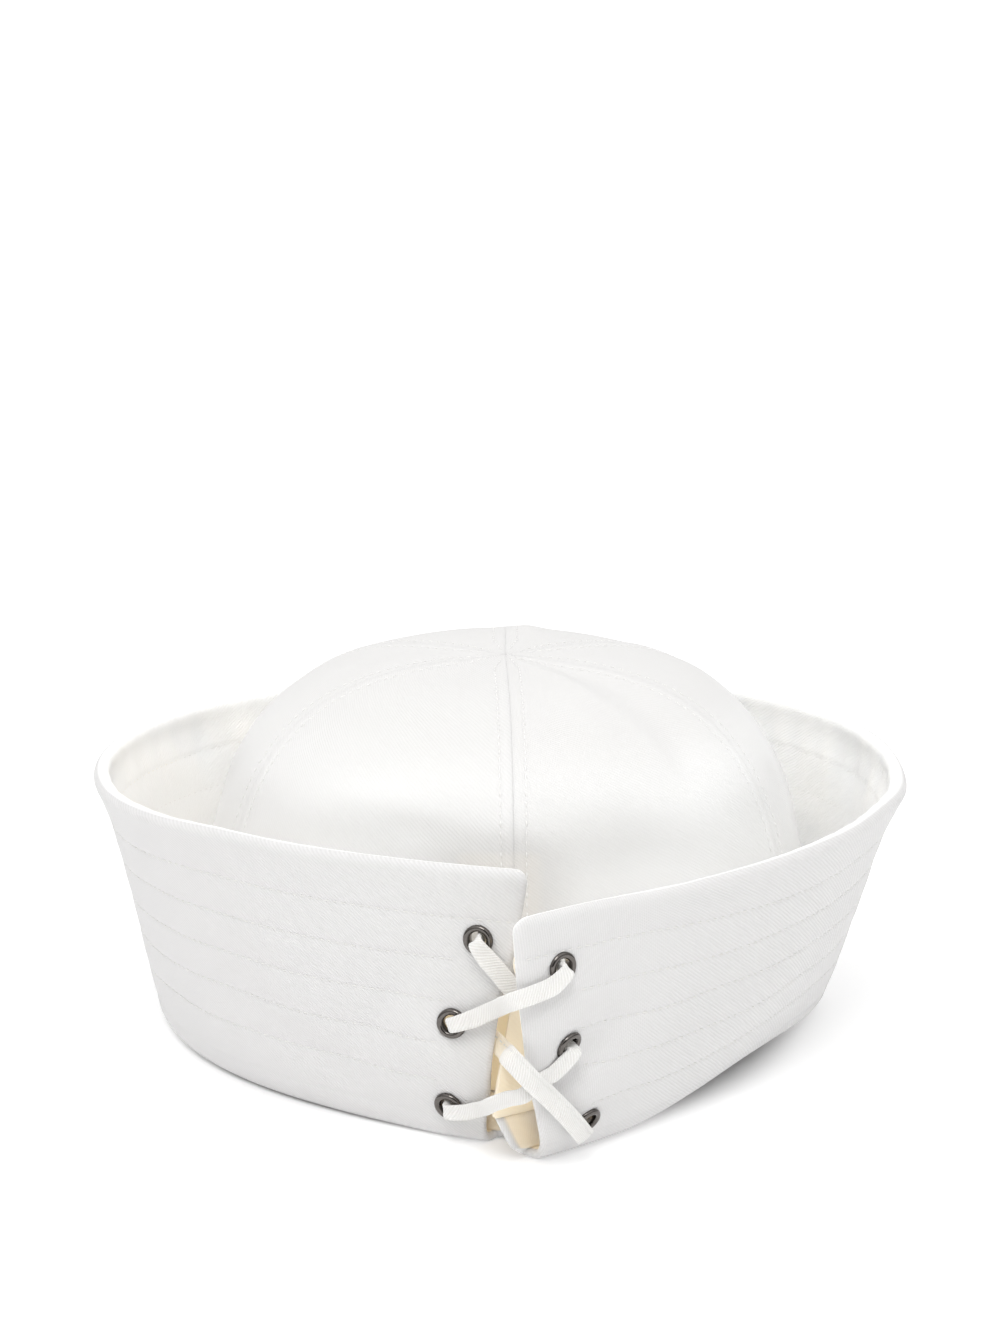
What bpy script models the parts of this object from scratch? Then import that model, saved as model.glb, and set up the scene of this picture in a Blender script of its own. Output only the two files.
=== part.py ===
"""A sailor cap: a dome of six panels, and a brim turned up all round and laced at the front.

Metres, +Z up. The cap stands on the fold of its brim at z = 0, with the laced opening
towards -Y. Angles are in degrees round from the front by the left side, which is
clockwise from above, so -X is at 90 and +Y at 180. "Up" is a height along the cloth of
the brim, from the lowest line of the fold.
"""

import math

import bmesh
import bpy
import numpy as np
from mathutils import Vector

MM = 0.001

# Where the angles are measured round, which puts the origin under the middle of the cap
CENTRE = (0.7 * MM, 11.5 * MM)

# The brim's cloth, from the rim down to the fold
HEM = 14.0 * MM  # rim to the first row of stitches
ROW_PITCH = 11.5 * MM
ROWS = 6
FOOT = 10.0 * MM  # last row to the fold's lowest line
BRIM_HEIGHT = HEM + (ROWS - 1) * ROW_PITCH + FOOT
BRIM_WALL = 2.4 * MM  # two layers of drill, quilted together
RIM_ROUND = 0.9 * MM
BRIM_STATIONS = 63
END_CROWDING = 0.65  # how much closer together the stations stand towards the front
BRIM_ROWS = (0, 1.8, 4.2, 7, 14, 22, 29, 35, 40, 46, 54, 64)  # mm up, and then the rim

# The fold under the brim, and the short leg inside it that the crown is sewn to
FOOT_ARC = 7.0 * MM  # cloth that turns from lying flat to climbing
CLIMB_STEPS = 60  # steps its slope is summed in
FOLD_FLAT = 1.5 * MM
LEG_RADIUS = 3.4 * MM
LEG_HEIGHT = 12.0 * MM

# radius: centre to the outer skin just above the fold, in mm. lift: fold above the
# surface it rests on, in mm. lean: outward slope of the upper brim. tuck: how much more
# it slopes at the foot.
STATION_COLUMNS = ("angle", "radius", "lift", "lean", "tuck")
STATIONS = (
    (-8, 104.5, 0, -3, 28),
    (6, 97.5, 0, -2, 27),
    (20, 91.0, 0, 1, 24),
    (36, 88.0, 0, 5, 17),
    (50, 88.5, 0, 8, 9),
    (64, 91.0, 0, 12, 2),
    (80, 95.5, 0, 13.5, 0),
    (100, 102.0, 0, 10.5, 1),
    (125, 101.5, 0, 8, 9),
    (150, 99.0, 0, 6, 14),
    (180, 99.5, 0, 6, 15),
    (210, 100.5, 0, 7, 13),
    (235, 102.0, 0, 8, 10),
    (258, 98.0, 1, 11, 8),
    (276, 90.0, 3, 17, 12),
    (292, 85.0, 4.5, 18.5, 19),
    (307, 84.5, 4.5, 18, 25),
    (322, 88.0, 2.5, 14, 30),
    (338, 97.0, 0, 6.5, 34),
    (351, 109.0, 0, 1.5, 40),
    (362, 121.5, 0, 0, 47),
)

# Where the brim's two front edges stand: at the leg's top, under the fold, then half way
# up and at the rim, as shares of the brim's height
EDGE_AT = (-0.18, -0.06, 0.0, 0.25, 0.5, 0.75, 1.0)
LEFT_EDGE = (0.7, 1.0, 1.9, 1.2, -0.1, -2.6, -4.3)
RIGHT_EDGE = (358.0, 356.4, 354.6, 356.8, 359.3, 360.4, 360.9)
FOLD_AT = EDGE_AT.index(0.0)
EDGE_BLEND = 22.0  # degrees over which an edge's slant dies away

# Soft creases and swells in the brim. bearing: of the crease on the cloth, in degrees up
# from the viewer's right. The rest in mm, and a swell's depth is negative.
CREASES = (
    # angle, up, bearing, half_length, half_width, depth
    (352.0, 36.0, 38, 15, 6.0, 2.0),
    (350.0, 25.0, 30, 14, 7.0, -1.6),
    (355.0, 50.0, 25, 12, 7.0, -1.4),
    (9.0, 31.0, 150, 16, 8.0, -1.6),
    (20.0, 36.0, 55, 26, 6.0, 1.2),
    (35.0, 22.0, 160, 30, 8.0, 1.2),
    (325.0, 44.0, 20, 30, 9.0, 1.2),
)

# The crown, a dome that is a superellipse from the side
CROWN_CENTRE = (CENTRE[0] + 1.2 * MM, CENTRE[1] + 2.9 * MM)
CROWN_HALF_WIDTH = 87.5 * MM
CROWN_HALF_DEPTH = 92.0 * MM
CROWN_HEIGHT = 109.5 * MM
CROWN_POWER = 3.4
CROWN_WALL = 1.6 * MM
CROWN_BLEND = 36.0 * MM  # height over which the dome takes up the brim's plan
CROWN_TIP = 1.6 * MM
SEAM_GAP = 0.3 * MM
SPLIT_HEIGHT = 34.0 * MM  # the front seam is open this far above the leg
# start and end: a panel's seams. start_split and end_split: how many degrees on from the
# seam its edge stands at the leg, where the front seam is open
PANELS = (
    # name, start, end, start_split, end_split
    ("crown_panel_front_left", -1.6, 65.0, 2.7, 0.0),
    ("crown_panel_side_left", 65.0, 121.0, 0.0, 0.0),
    ("crown_panel_back_left", 121.0, 180.0, 0.0, 0.0),
    ("crown_panel_back_right", 180.0, 238.0, 0.0, 0.0),
    ("crown_panel_side_right", 238.0, 295.5, 0.0, 0.0),
    ("crown_panel_front_right", 295.5, 358.4, 0.0, -3.0),
)
PANEL_STEPS = (8, 14)  # across and up

# Soft dents in the dome, pressed in along its normal
DENTS = (
    # angle, height, half_angle, half_height, depth
    (12, 82, 26, 9, 3.0),
    (338, 72, 14, 12, 2.5),
    (313, 97, 9, 12, 1.5),
    (335, 104, 8, 5, -1.2),
)

# Eyelets, in every other channel between the stitch rows
EYELET_FLANGE = 4.1 * MM
EYELET_BORE = 2.3 * MM
EYELET_TUBE = 2.8 * MM
EYELET_RIM = 0.9 * MM  # how far the flange's roll stands proud
EYELET_ROLL = 0.6 * MM  # how far in from its two rings the roll is full
EYELET_SIDES = 16
HOLE = 3.2 * MM  # radius of the hole cut in the brim
CLEARANCE = 0.6 * MM  # flange to cloth, which curves
EYELETS = (
    # name, angle, up
    ("eyelet_left_top", 2.7, 62.0 * MM),
    ("eyelet_left_middle", 6.5, 38.5 * MM),
    ("eyelet_left_bottom", 7.9, 13.5 * MM),
    ("eyelet_right_top", 355.2, 63.2 * MM),
    ("eyelet_right_middle", 353.7, 40.4 * MM),
    ("eyelet_right_bottom", 349.1, 15.0 * MM),
)

# The lace, one flat tape: the eyelet that each run comes from, its angle, height up the
# cloth and distance out from the brim's skin in mm at points on its way, and the eyelet
# that it goes to
LACE_WIDTH = 6.0 * MM
LACE_THICKNESS = 1.1 * MM
LACE_THREADED = 3.2 * MM  # its width where an eyelet gathers it
LACE_SECTION = ((-0.5, 0.25), (-0.36, 0.5), (0.36, 0.5), (0.5, 0.25))  # shares of both
LACE_STEP = 3.0 * MM
THREADED_OUT = 2.2  # mm outside the skin, where the tape comes out of an eyelet
BEHIND = -(BRIM_WALL / MM + 2.6)  # mm outside the skin, so this far behind the wall
LACE_RUNS = (
    (None, ((349.3, 11.5, 3.2), (353.5, 21.2, 3.0), (356.9, 28.5, 4.0), (359.2, 36.0, 4.2),
            (361.2, 41.5, 0.0), (-0.4, 32.2, -3.8), (1.3, 33.0, BEHIND), (3.0, 34.6, BEHIND)),
     "eyelet_left_middle"),
    ("eyelet_left_middle", ((4.3, 40.0, 2.4), (2.0, 42.8, 3.4), (361.0, 58.8, 1.8),
                            (358.6, 59.6, 1.6), (357.0, 61.4, 2.0)), "eyelet_right_top"),
    ("eyelet_right_top", ((358.5, 62.5, BEHIND - 2), (-3.0, 62.0, BEHIND), (0.2, 62.0, BEHIND)),
     "eyelet_left_top"),
    ("eyelet_left_top", ((1.3, 58.6, 2.3), (-0.7, 53.5, 1.3), (-2.3, 49.6, 0.8),
                         (358.1, 51.6, BEHIND), (356.0, 46.0, BEHIND)), "eyelet_right_middle"),
    ("eyelet_right_middle", ((355.3, 37.8, 2.8), (356.8, 35.5, 2.3), (358.6, 33.2, 2.2),
                             (1.5, 17.5, 3.0), (5.0, 14.6, 2.2)), "eyelet_left_bottom"),
    ("eyelet_left_bottom", ((10.8, 18.0, BEHIND),), None),
)

# name: base colour, roughness, metallic
FINISHES = {
    "white_cotton_drill": ((0.93, 0.92, 0.90), 0.90, 0.0),
    "white_cotton_tape": ((0.94, 0.93, 0.91), 0.88, 0.0),
    "gunmetal_plate": ((0.16, 0.15, 0.15), 0.28, 1.0),
}


def clear_scene():
    for thing in list(bpy.data.objects):
        bpy.data.objects.remove(thing, do_unlink=True)


def finish(name):
    """The Principled material of that name, made once."""
    if name in bpy.data.materials:
        return bpy.data.materials[name]
    colour, roughness, metallic = FINISHES[name]
    material = bpy.data.materials.new(name)
    material.use_nodes = True
    shader = material.node_tree.nodes["Principled BSDF"]
    shader.inputs["Base Color"].default_value = (*colour, 1.0)
    shader.inputs["Roughness"].default_value = roughness
    shader.inputs["Metallic"].default_value = metallic
    return material


def add_object(name, mesh, finish_name):
    mesh.materials.append(finish(finish_name))
    mesh.shade_smooth()
    mesh.set_sharp_from_angle(angle=math.radians(40))
    thing = bpy.data.objects.new(name, mesh)
    bpy.context.scene.collection.objects.link(thing)
    return thing


def two_skins(name, front, back, finish_name):
    """A closed solid from two grids of points, rows x columns x 3, joined round their borders."""
    rows, columns = front.shape[:2]
    index = np.arange(rows * columns).reshape(rows, columns)
    behind = index + rows * columns
    quads = [np.stack([index[:-1, :-1], index[:-1, 1:], index[1:, 1:], index[1:, :-1]], -1)]
    quads.append(np.stack([behind[:-1, :-1], behind[1:, :-1], behind[1:, 1:], behind[:-1, 1:]], -1))
    border = np.concatenate([index[0, :], index[1:, -1], index[-1, -2::-1], index[-2:0:-1, 0]])
    after = np.roll(border, -1)
    quads.append(np.stack([after, border, border + rows * columns, after + rows * columns], -1))
    faces = np.concatenate([quad.reshape(-1, 4) for quad in quads])
    points = np.concatenate([front.reshape(-1, 3), back.reshape(-1, 3)])
    mesh = bpy.data.meshes.new(name)
    mesh.from_pydata(points.tolist(), [], faces.tolist())
    shape = bmesh.new()
    shape.from_mesh(mesh)
    bmesh.ops.recalc_face_normals(shape, faces=shape.faces)
    shape.to_mesh(mesh)
    shape.free()
    return add_object(name, mesh, finish_name)


def unit(vectors):
    return vectors / np.linalg.norm(vectors, axis=-1, keepdims=True)


def curve(x, at, values):
    """A cubic through the values at those places, with the slopes of the chords beside them."""
    at, values = np.asarray(at, float), np.asarray(values, float)
    slopes = np.gradient(values, at)
    i = np.clip(np.searchsorted(at, x, side="right") - 1, 0, len(at) - 2)
    span = at[i + 1] - at[i]
    t = (x - at[i]) / span
    start = (1 + 2 * t) * (1 - t) ** 2 * values[i] + t * (1 - t) ** 2 * span * slopes[i]
    end = t**2 * (3 - 2 * t) * values[i + 1] + t**2 * (t - 1) * span * slopes[i + 1]
    return start + end


def station(column, angle):
    """A column of the brim's table, read between its rows."""
    table = np.array(STATIONS, float)
    return curve(angle, table[:, 0], table[:, STATION_COLUMNS.index(column)])


def plan(angle):
    """The foot line seen from above: x = -r sin(angle), y = -r cos(angle), from the centre."""
    turn = np.radians(angle)
    radius = station("radius", angle) * MM
    return np.stack([CENTRE[0] - radius * np.sin(turn), CENTRE[1] - radius * np.cos(turn)], -1)


def outward(angle):
    """The foot line's level normal, away from the head."""
    along = unit(plan(angle + 0.5) - plan(angle - 0.5))
    return np.stack([-along[..., 1], along[..., 0]], -1)


def slope(angle, up):
    """How far the outer skin leans out from upright, in radians, at a height up the cloth."""
    share = 1 - up / BRIM_HEIGHT
    lean = station("lean", angle) + station("tuck", angle) * share**3
    turning = np.clip(1 - up / FOOT_ARC, 0, 1) ** 1.5
    return np.radians(lean * (1 - turning) + 90 * turning)


def climb(angle, up):
    """How far out and how high the outer skin is, its slope summed from the fold upwards."""
    middles = (np.arange(CLIMB_STEPS) + 0.5) / CLIMB_STEPS
    lean = slope(angle, middles.reshape(-1, *[1] * np.ndim(up)) * up)
    return np.sin(lean).mean(0) * up, np.cos(lean).mean(0) * up


def placed(angle, out, rise):
    """Points out from the foot line and above the fold, in the cap's frame."""
    foot, level = plan(angle), outward(angle)
    lift = np.maximum(station("lift", angle), 0) * MM
    return np.concatenate([foot + level * out[..., None], (lift + rise)[..., None]], -1)


def creased(angle, up):
    """Depth of the brim's creases: a bell curve along each and another across it."""
    depth = np.zeros_like(up)
    for at, height, bearing, half_length, half_width, deep in CREASES:
        right = np.radians(at - angle) * station("radius", at)
        above = up / MM - height
        turn = math.radians(bearing)
        along = (right * math.cos(turn) + above * math.sin(turn)) / half_length
        across = (above * math.cos(turn) - right * math.sin(turn)) / half_width
        depth += deep * MM * np.exp(-(along**2) - across**2)
    return depth * np.clip(up / FOOT_ARC, 0, 1)


def skin(angle, up, off=0.0):
    """Points on the brim's outer skin, or off it along its normal."""
    angle, up = np.broadcast_arrays(np.asarray(angle, float), np.asarray(up, float))
    out, rise = climb(angle, up)
    foot_out, _ = climb(angle, np.full_like(up, FOOT_ARC))
    lean = slope(angle, up)
    off = off - creased(angle, up)
    return placed(angle, out - foot_out + off * np.cos(lean), rise - off * np.sin(lean))


def skin_normal(angle, up):
    """The brim's outward normal, from its two tangents over the breadth of an eyelet."""
    around = skin(angle + 2.0, up) - skin(angle - 2.0, up)
    climbing = skin(angle, up + 3 * MM) - skin(angle, up - 3 * MM)
    return unit(np.cross(climbing, around))


def fold_reach(angle):
    """How far in from the foot line the fold's lowest line lies."""
    reach, _ = climb(angle, np.full_like(angle, FOOT_ARC))
    return reach


def edged(angle, share):
    """Angles sheared so that the first and last columns follow the front edges."""
    first, last = angle.min(), angle.max()
    near_left = np.clip(1 - (angle - first) / EDGE_BLEND, 0, 1) ** 2
    near_right = np.clip(1 - (last - angle) / EDGE_BLEND, 0, 1) ** 2
    left = (curve(share, EDGE_AT, LEFT_EDGE) - first) * near_left
    right = (curve(share, EDGE_AT, RIGHT_EDGE) - last) * near_right
    return angle + left + right


def fold_rows(columns, inset):
    """The fold from the leg's top down to its lowest line, set in from the outer skin."""
    turn = np.radians([90, 60, 30, 0])
    radius = LEG_RADIUS - inset
    out = [-FOLD_FLAT - radius] + [-FOLD_FLAT - radius * math.sin(t) for t in turn]
    rise = [LEG_HEIGHT] + [LEG_RADIUS - radius * math.cos(t) for t in turn]
    shares = np.linspace(EDGE_AT[0], 0, len(out) + 1)[:-1]
    rows = []
    for o, r, share in zip(out, rise, shares):
        angle = edged(columns, share)
        rows.append(placed(angle, o - fold_reach(angle), np.full_like(angle, r)))
    return rows


def make_brim():
    """One band, from the leg inside the fold, under it and up to the rim."""
    heights = [up * MM for up in BRIM_ROWS] + [BRIM_HEIGHT - RIM_ROUND, BRIM_HEIGHT]
    even = np.linspace(0, 1, BRIM_STATIONS)
    crowded = even - END_CROWDING * np.sin(2 * np.pi * even) / (2 * np.pi)
    columns = LEFT_EDGE[FOLD_AT] + (RIGHT_EDGE[FOLD_AT] - LEFT_EDGE[FOLD_AT]) * crowded
    front = fold_rows(columns, 0.0)
    back = fold_rows(columns, BRIM_WALL)
    for up in heights:
        angle = edged(columns, up / BRIM_HEIGHT)
        rounding = RIM_ROUND * 0.8 if up == BRIM_HEIGHT else 0.0
        front.append(skin(angle, up, -rounding))
        back.append(skin(angle, up, rounding - BRIM_WALL))
    brim = two_skins("brim", np.stack(front), np.stack(back), "white_cotton_drill")
    for name, angle, up in EYELETS:
        bore(brim, name, angle, up)


def bore(brim, name, angle, up):
    """Cuts an eyelet's hole through the brim, square to its skin."""
    shape = bmesh.new()
    bmesh.ops.create_cone(shape, cap_ends=True, segments=EYELET_SIDES, radius1=HOLE,
                          radius2=HOLE, depth=4 * BRIM_WALL)
    mesh = bpy.data.meshes.new(name + "_cutter")
    shape.to_mesh(mesh)
    shape.free()
    cutter = bpy.data.objects.new(mesh.name, mesh)
    bpy.context.scene.collection.objects.link(cutter)
    set_square(cutter, angle, up, -BRIM_WALL / 2)
    cutter.hide_render = True
    cutter.display_type = "WIRE"
    cut = brim.modifiers.new(name + "_hole", "BOOLEAN")
    cut.operation = "DIFFERENCE"
    cut.solver = "EXACT"
    cut.object = cutter


def set_square(thing, angle, up, off):
    """Places a turned piece with its local +Z along the brim's normal."""
    normal = Vector(skin_normal(angle, up))
    thing.location = Vector(skin(angle, up, off))
    thing.rotation_euler = normal.to_track_quat("Z", "Y").to_euler()


def make_eyelet(name, angle, up):
    """A turned ring: a tube through the wall with a rolled flange on each face."""
    front = CLEARANCE
    back = -BRIM_WALL - CLEARANCE
    profile = (
        (EYELET_BORE, front + EYELET_RIM / 2),
        (EYELET_BORE + EYELET_ROLL, front + EYELET_RIM),
        (EYELET_FLANGE - EYELET_ROLL, front + EYELET_RIM),
        (EYELET_FLANGE, front),
        (EYELET_TUBE, front),
        (EYELET_TUBE, back),
        (EYELET_FLANGE, back),
        (EYELET_FLANGE - EYELET_ROLL, back - EYELET_RIM / 2),
        (EYELET_BORE, back - EYELET_RIM / 2),
    )
    shape = bmesh.new()
    ring = [shape.verts.new((radius, 0, height)) for radius, height in profile]
    edges = [shape.edges.new(pair) for pair in zip(ring, ring[1:] + ring[:1])]
    bmesh.ops.spin(shape, geom=ring + edges, cent=(0, 0, 0), axis=(0, 0, 1), steps=EYELET_SIDES,
                   angle=2 * math.pi, use_merge=True, use_duplicate=False)
    bmesh.ops.remove_doubles(shape, verts=shape.verts, dist=1e-6)
    bmesh.ops.recalc_face_normals(shape, faces=shape.faces)
    mesh = bpy.data.meshes.new(name)
    shape.to_mesh(mesh)
    shape.free()
    set_square(add_object(name, mesh, "gunmetal_plate"), angle, up, 0.0)


def crown_base(angle):
    """Where the crown's outer skin meets the leg, as plan points and heights."""
    reach = fold_reach(angle) + FOLD_FLAT + LEG_RADIUS - BRIM_WALL
    point = placed(angle, -reach, np.full_like(angle, LEG_HEIGHT + SEAM_GAP))
    return point[..., :2], point[..., 2]


def dented(angle, height):
    """Depth of the dents at a place on the dome: a bell curve in angle and height each."""
    depth = np.zeros(np.broadcast(angle, height).shape)
    for turn, level, half_angle, half_height, deep in DENTS:
        around = (angle - turn + 180) % 360 - 180
        bell = np.exp(-((around / half_angle) ** 2) - ((height / MM - level) / half_height) ** 2)
        depth += deep * MM * bell
    return depth


def share_at(t):
    """The even share of the way up a superellipse at its angle t, in radians."""
    ratio = (t / (np.pi / 2 - t)) ** (2 / CROWN_POWER)
    return ratio / (1 + ratio)


def dome(angle, share):
    """The crown's outer skin: a superellipse that takes the brim's plan near its base.

    radius = cos(t)^(2/n), height = sin(t)^(2/n). t runs from 0 level with the fold to 90
    degrees at the top, spaced so that even steps of the share are about even in length.
    """
    base, floor = crown_base(angle)
    up, down = share ** (CROWN_POWER / 2), (1 - share) ** (CROWN_POWER / 2)
    t = np.pi / 2 * up / (up + down)
    radius = np.cos(t) ** (2 / CROWN_POWER)
    height = CROWN_HEIGHT * np.sin(t) ** (2 / CROWN_POWER)
    turn = np.radians(angle)
    round_x = CROWN_CENTRE[0] - CROWN_HALF_WIDTH * radius * np.sin(turn)
    round_y = CROWN_CENTRE[1] - CROWN_HALF_DEPTH * radius * np.cos(turn)
    near = np.clip(1 - (height - floor) / CROWN_BLEND, 0, 1)
    hold = near**2 * (3 - 2 * near)
    x = base[..., 0] * hold + round_x * (1 - hold)
    y = base[..., 1] * hold + round_y * (1 - hold)
    return np.stack([x, y, height], -1)


def dome_normal(angle, share):
    """The dome's outward normal, from its two tangents."""
    around = dome(angle + 0.5, share) - dome(angle - 0.5, share)
    climbing = dome(angle, share + 0.002) - dome(angle, share - 0.002)
    return unit(np.cross(climbing, around))


def make_panel(name, start, end, start_split, end_split):
    """One gore of the crown, with a sewing gap at each seam and the split at the front."""
    across, tall = PANEL_STEPS
    rise = np.linspace(0, 1, tall + 1)[:, None]
    top = share_at(np.arccos((CROWN_TIP / CROWN_HALF_WIDTH) ** (CROWN_POWER / 2)))

    def shares(angle):
        _, floor = crown_base(angle)
        low = share_at(np.arcsin((floor / CROWN_HEIGHT) ** (CROWN_POWER / 2)))
        return low + (top - low) * rise

    middle = dome(np.full_like(rise, (start + end) / 2), shares((start + end) / 2))
    reach = np.hypot(middle[..., 0] - CROWN_CENTRE[0], middle[..., 1] - CROWN_CENTRE[1])
    split = np.clip(1 - (middle[..., 2] - LEG_HEIGHT) / SPLIT_HEIGHT, 0, 1)
    trim = np.degrees(SEAM_GAP / 2 / reach)
    low, high = start + start_split * split + trim, end + end_split * split - trim
    angle = low + (high - low) * np.linspace(0, 1, across + 1)[None, :]
    share = shares(angle)
    points, normals = dome(angle, share), dome_normal(angle, share)
    inner = points - normals * (dented(angle, points[..., 2])[..., None] + CROWN_WALL)
    inner[0, :, 2] = points[0, :, 2]
    outer = points - normals * dented(angle, points[..., 2])[..., None]
    two_skins(name, outer, inner, "white_cotton_drill")


def lace_route():
    """The tape's centreline, the way its width lies and its width, at points along it."""
    spots = {name: (angle, up) for name, angle, up in EYELETS}
    route = []

    def add(point, side, width):
        turned = route and np.dot(side, route[-1][1]) < 0
        route.append((point, -side if turned else side, width))

    def beside(name, out):
        off = THREADED_OUT if out > 0 else BEHIND
        return skin(*spots[name]) + skin_normal(*spots[name]) * off * MM

    for start, run, end in LACE_RUNS:
        angle, up, out = np.array(run, float).T
        centres, normals = skin(angle, up * MM, out * MM), skin_normal(angle, up * MM)
        first = skin(*spots[start]) if start else centres[0]
        last = skin(*spots[end]) if end else centres[-1]
        sides = unit(np.cross(np.gradient(np.stack([first, *centres, last]), axis=0)[1:-1], normals))
        if start:
            add(beside(start, out[0]), sides[0], LACE_THREADED)
        for centre, side in zip(centres, sides):
            add(centre, side, LACE_WIDTH)
        if end:
            add(beside(end, out[-1]), sides[-1], LACE_THREADED)
            add(skin(*spots[end], -BRIM_WALL / 2), sides[-1], LACE_THREADED)
    return [np.array(column) for column in zip(*route)]


def make_lace():
    """The tape: a flat section, thinner at its edges, carried along the route."""
    points, across, widths = lace_route()
    length = np.concatenate([[0], np.cumsum(np.linalg.norm(np.diff(points, axis=0), axis=1))])
    at = np.linspace(0, length[-1], round(length[-1] / LACE_STEP))
    centre = np.stack([curve(at, length, points[:, k]) for k in range(3)], -1)
    side = np.stack([np.interp(at, length, across[:, k]) for k in range(3)], -1)
    width = np.interp(at, length, widths)
    way = unit(np.gradient(centre, axis=0))
    side = unit(side - way * (side * way).sum(-1, keepdims=True))
    face = np.cross(side, way)
    place, depth = np.array(LACE_SECTION).T[:, :, None, None]
    spread = centre + side * width[:, None] * place
    depth = face * depth * LACE_THICKNESS
    two_skins("lace", spread + depth, spread - depth, "white_cotton_tape")


clear_scene()
make_brim()
for panel in PANELS:
    make_panel(*panel)
for eyelet in EYELETS:
    make_eyelet(*eyelet)
make_lace()
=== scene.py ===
"""Looks of the sailor cap: fine cloth, stitches, eyelets and lace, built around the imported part.

Metres, +Z up, the laced front towards -Y. Angles are in degrees round from the front by the
left side, which is clockwise from above. "Up" is a height along the cloth of the brim, from
the lowest line of its fold. Angles over 180 belong to the right flap and angles under it to
the left one, also where they pass each other at the front.
"""

import math

import bpy
import numpy as np
from mathutils import Euler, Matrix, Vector


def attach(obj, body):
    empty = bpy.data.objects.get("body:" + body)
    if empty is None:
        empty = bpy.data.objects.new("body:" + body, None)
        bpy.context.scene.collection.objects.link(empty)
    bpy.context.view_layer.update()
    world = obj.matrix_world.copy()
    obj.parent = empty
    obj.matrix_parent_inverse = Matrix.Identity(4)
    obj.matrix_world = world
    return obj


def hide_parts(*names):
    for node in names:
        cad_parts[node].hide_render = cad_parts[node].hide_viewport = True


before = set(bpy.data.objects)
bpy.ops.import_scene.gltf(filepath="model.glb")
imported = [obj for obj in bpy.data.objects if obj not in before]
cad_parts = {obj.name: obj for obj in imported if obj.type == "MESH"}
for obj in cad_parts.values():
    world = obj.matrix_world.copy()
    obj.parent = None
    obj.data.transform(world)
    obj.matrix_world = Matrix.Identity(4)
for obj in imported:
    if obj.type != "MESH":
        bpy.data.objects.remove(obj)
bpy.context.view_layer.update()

MM = 0.001

# ---- The part's own sizes, which the fine surfaces follow ----

CENTRE = (0.7 * MM, 11.5 * MM)  # the point that the angles go round, seen from above

HEM = 14.0 * MM  # cloth from the rim to the first row of stitches
ROW_PITCH = 11.5 * MM
ROWS = 6
FOOT = 10.0 * MM  # cloth from the last row to the fold
BRIM_HEIGHT = HEM + (ROWS - 1) * ROW_PITCH + FOOT
BRIM_WALL = 2.4 * MM

FOOT_ARC = 7.0 * MM  # cloth in the fold's outer quarter turn
CLIMB_STEPS = 60
FOLD_FLAT = 1.5 * MM  # the level cloth between the fold's outer and inner turns
LEG_RADIUS = 3.4 * MM  # of the inner turn
LEG_HEIGHT = 12.0 * MM  # the cloth under the crown, up from the fold

# The foot line's radius and its lift off the table, in mm, the wall's lean above it, and how
# much more it leans near the fold, in degrees.
STATION_COLUMNS = ("angle", "radius", "lift", "lean", "tuck")
STATIONS = (
    (-8, 104.5, 0, -3, 28),
    (6, 97.5, 0, -2, 27),
    (20, 91.0, 0, 1, 24),
    (36, 88.0, 0, 5, 17),
    (50, 88.5, 0, 8, 9),
    (64, 91.0, 0, 12, 2),
    (80, 95.5, 0, 13.5, 0),
    (100, 102.0, 0, 10.5, 1),
    (125, 101.5, 0, 8, 9),
    (150, 99.0, 0, 6, 14),
    (180, 99.5, 0, 6, 15),
    (210, 100.5, 0, 7, 13),
    (235, 102.0, 0, 8, 10),
    (258, 98.0, 1, 11, 8),
    (276, 90.0, 3, 17, 12),
    (292, 85.0, 4.5, 18.5, 19),
    (307, 84.5, 4.5, 18, 25),
    (322, 88.0, 2.5, 14, 30),
    (338, 97.0, 0, 6.5, 34),
    (351, 109.0, 0, 1.5, 40),
    (362, 121.5, 0, 0, 47),
)

# The angles of the two front edges, at shares of the brim's height.
EDGE_AT = (-0.18, -0.06, 0.0, 0.25, 0.5, 0.75, 1.0)
LEFT_EDGE = (-0.2, 0.4, 1.9, 1.2, -0.1, -2.6, -4.3)
RIGHT_EDGE = (358.4, 355.6, 354.6, 356.8, 359.3, 360.4, 360.9)
FOLD_AT = EDGE_AT.index(0.0)
EDGE_BLEND = 22.0  # degrees over which the mesh leans to follow a front edge

CREASES = (
    # Soft creases of the wall, or ridges where the depth is negative, in degrees and mm.
    # angle, up, bearing, half_length, half_width, depth
    (352.0, 36.0, 38, 15, 5.5, 2.4),
    (350.0, 25.0, 30, 14, 7.0, -1.6),
    (355.0, 50.0, 25, 12, 7.0, -1.4),
    (9.0, 31.0, 150, 16, 8.0, -1.6),
    (20.0, 36.0, 55, 26, 6.0, 1.2),
    (35.0, 22.0, 160, 30, 8.0, 1.2),
    (325.0, 44.0, 20, 30, 9.0, 1.2),
)

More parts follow.
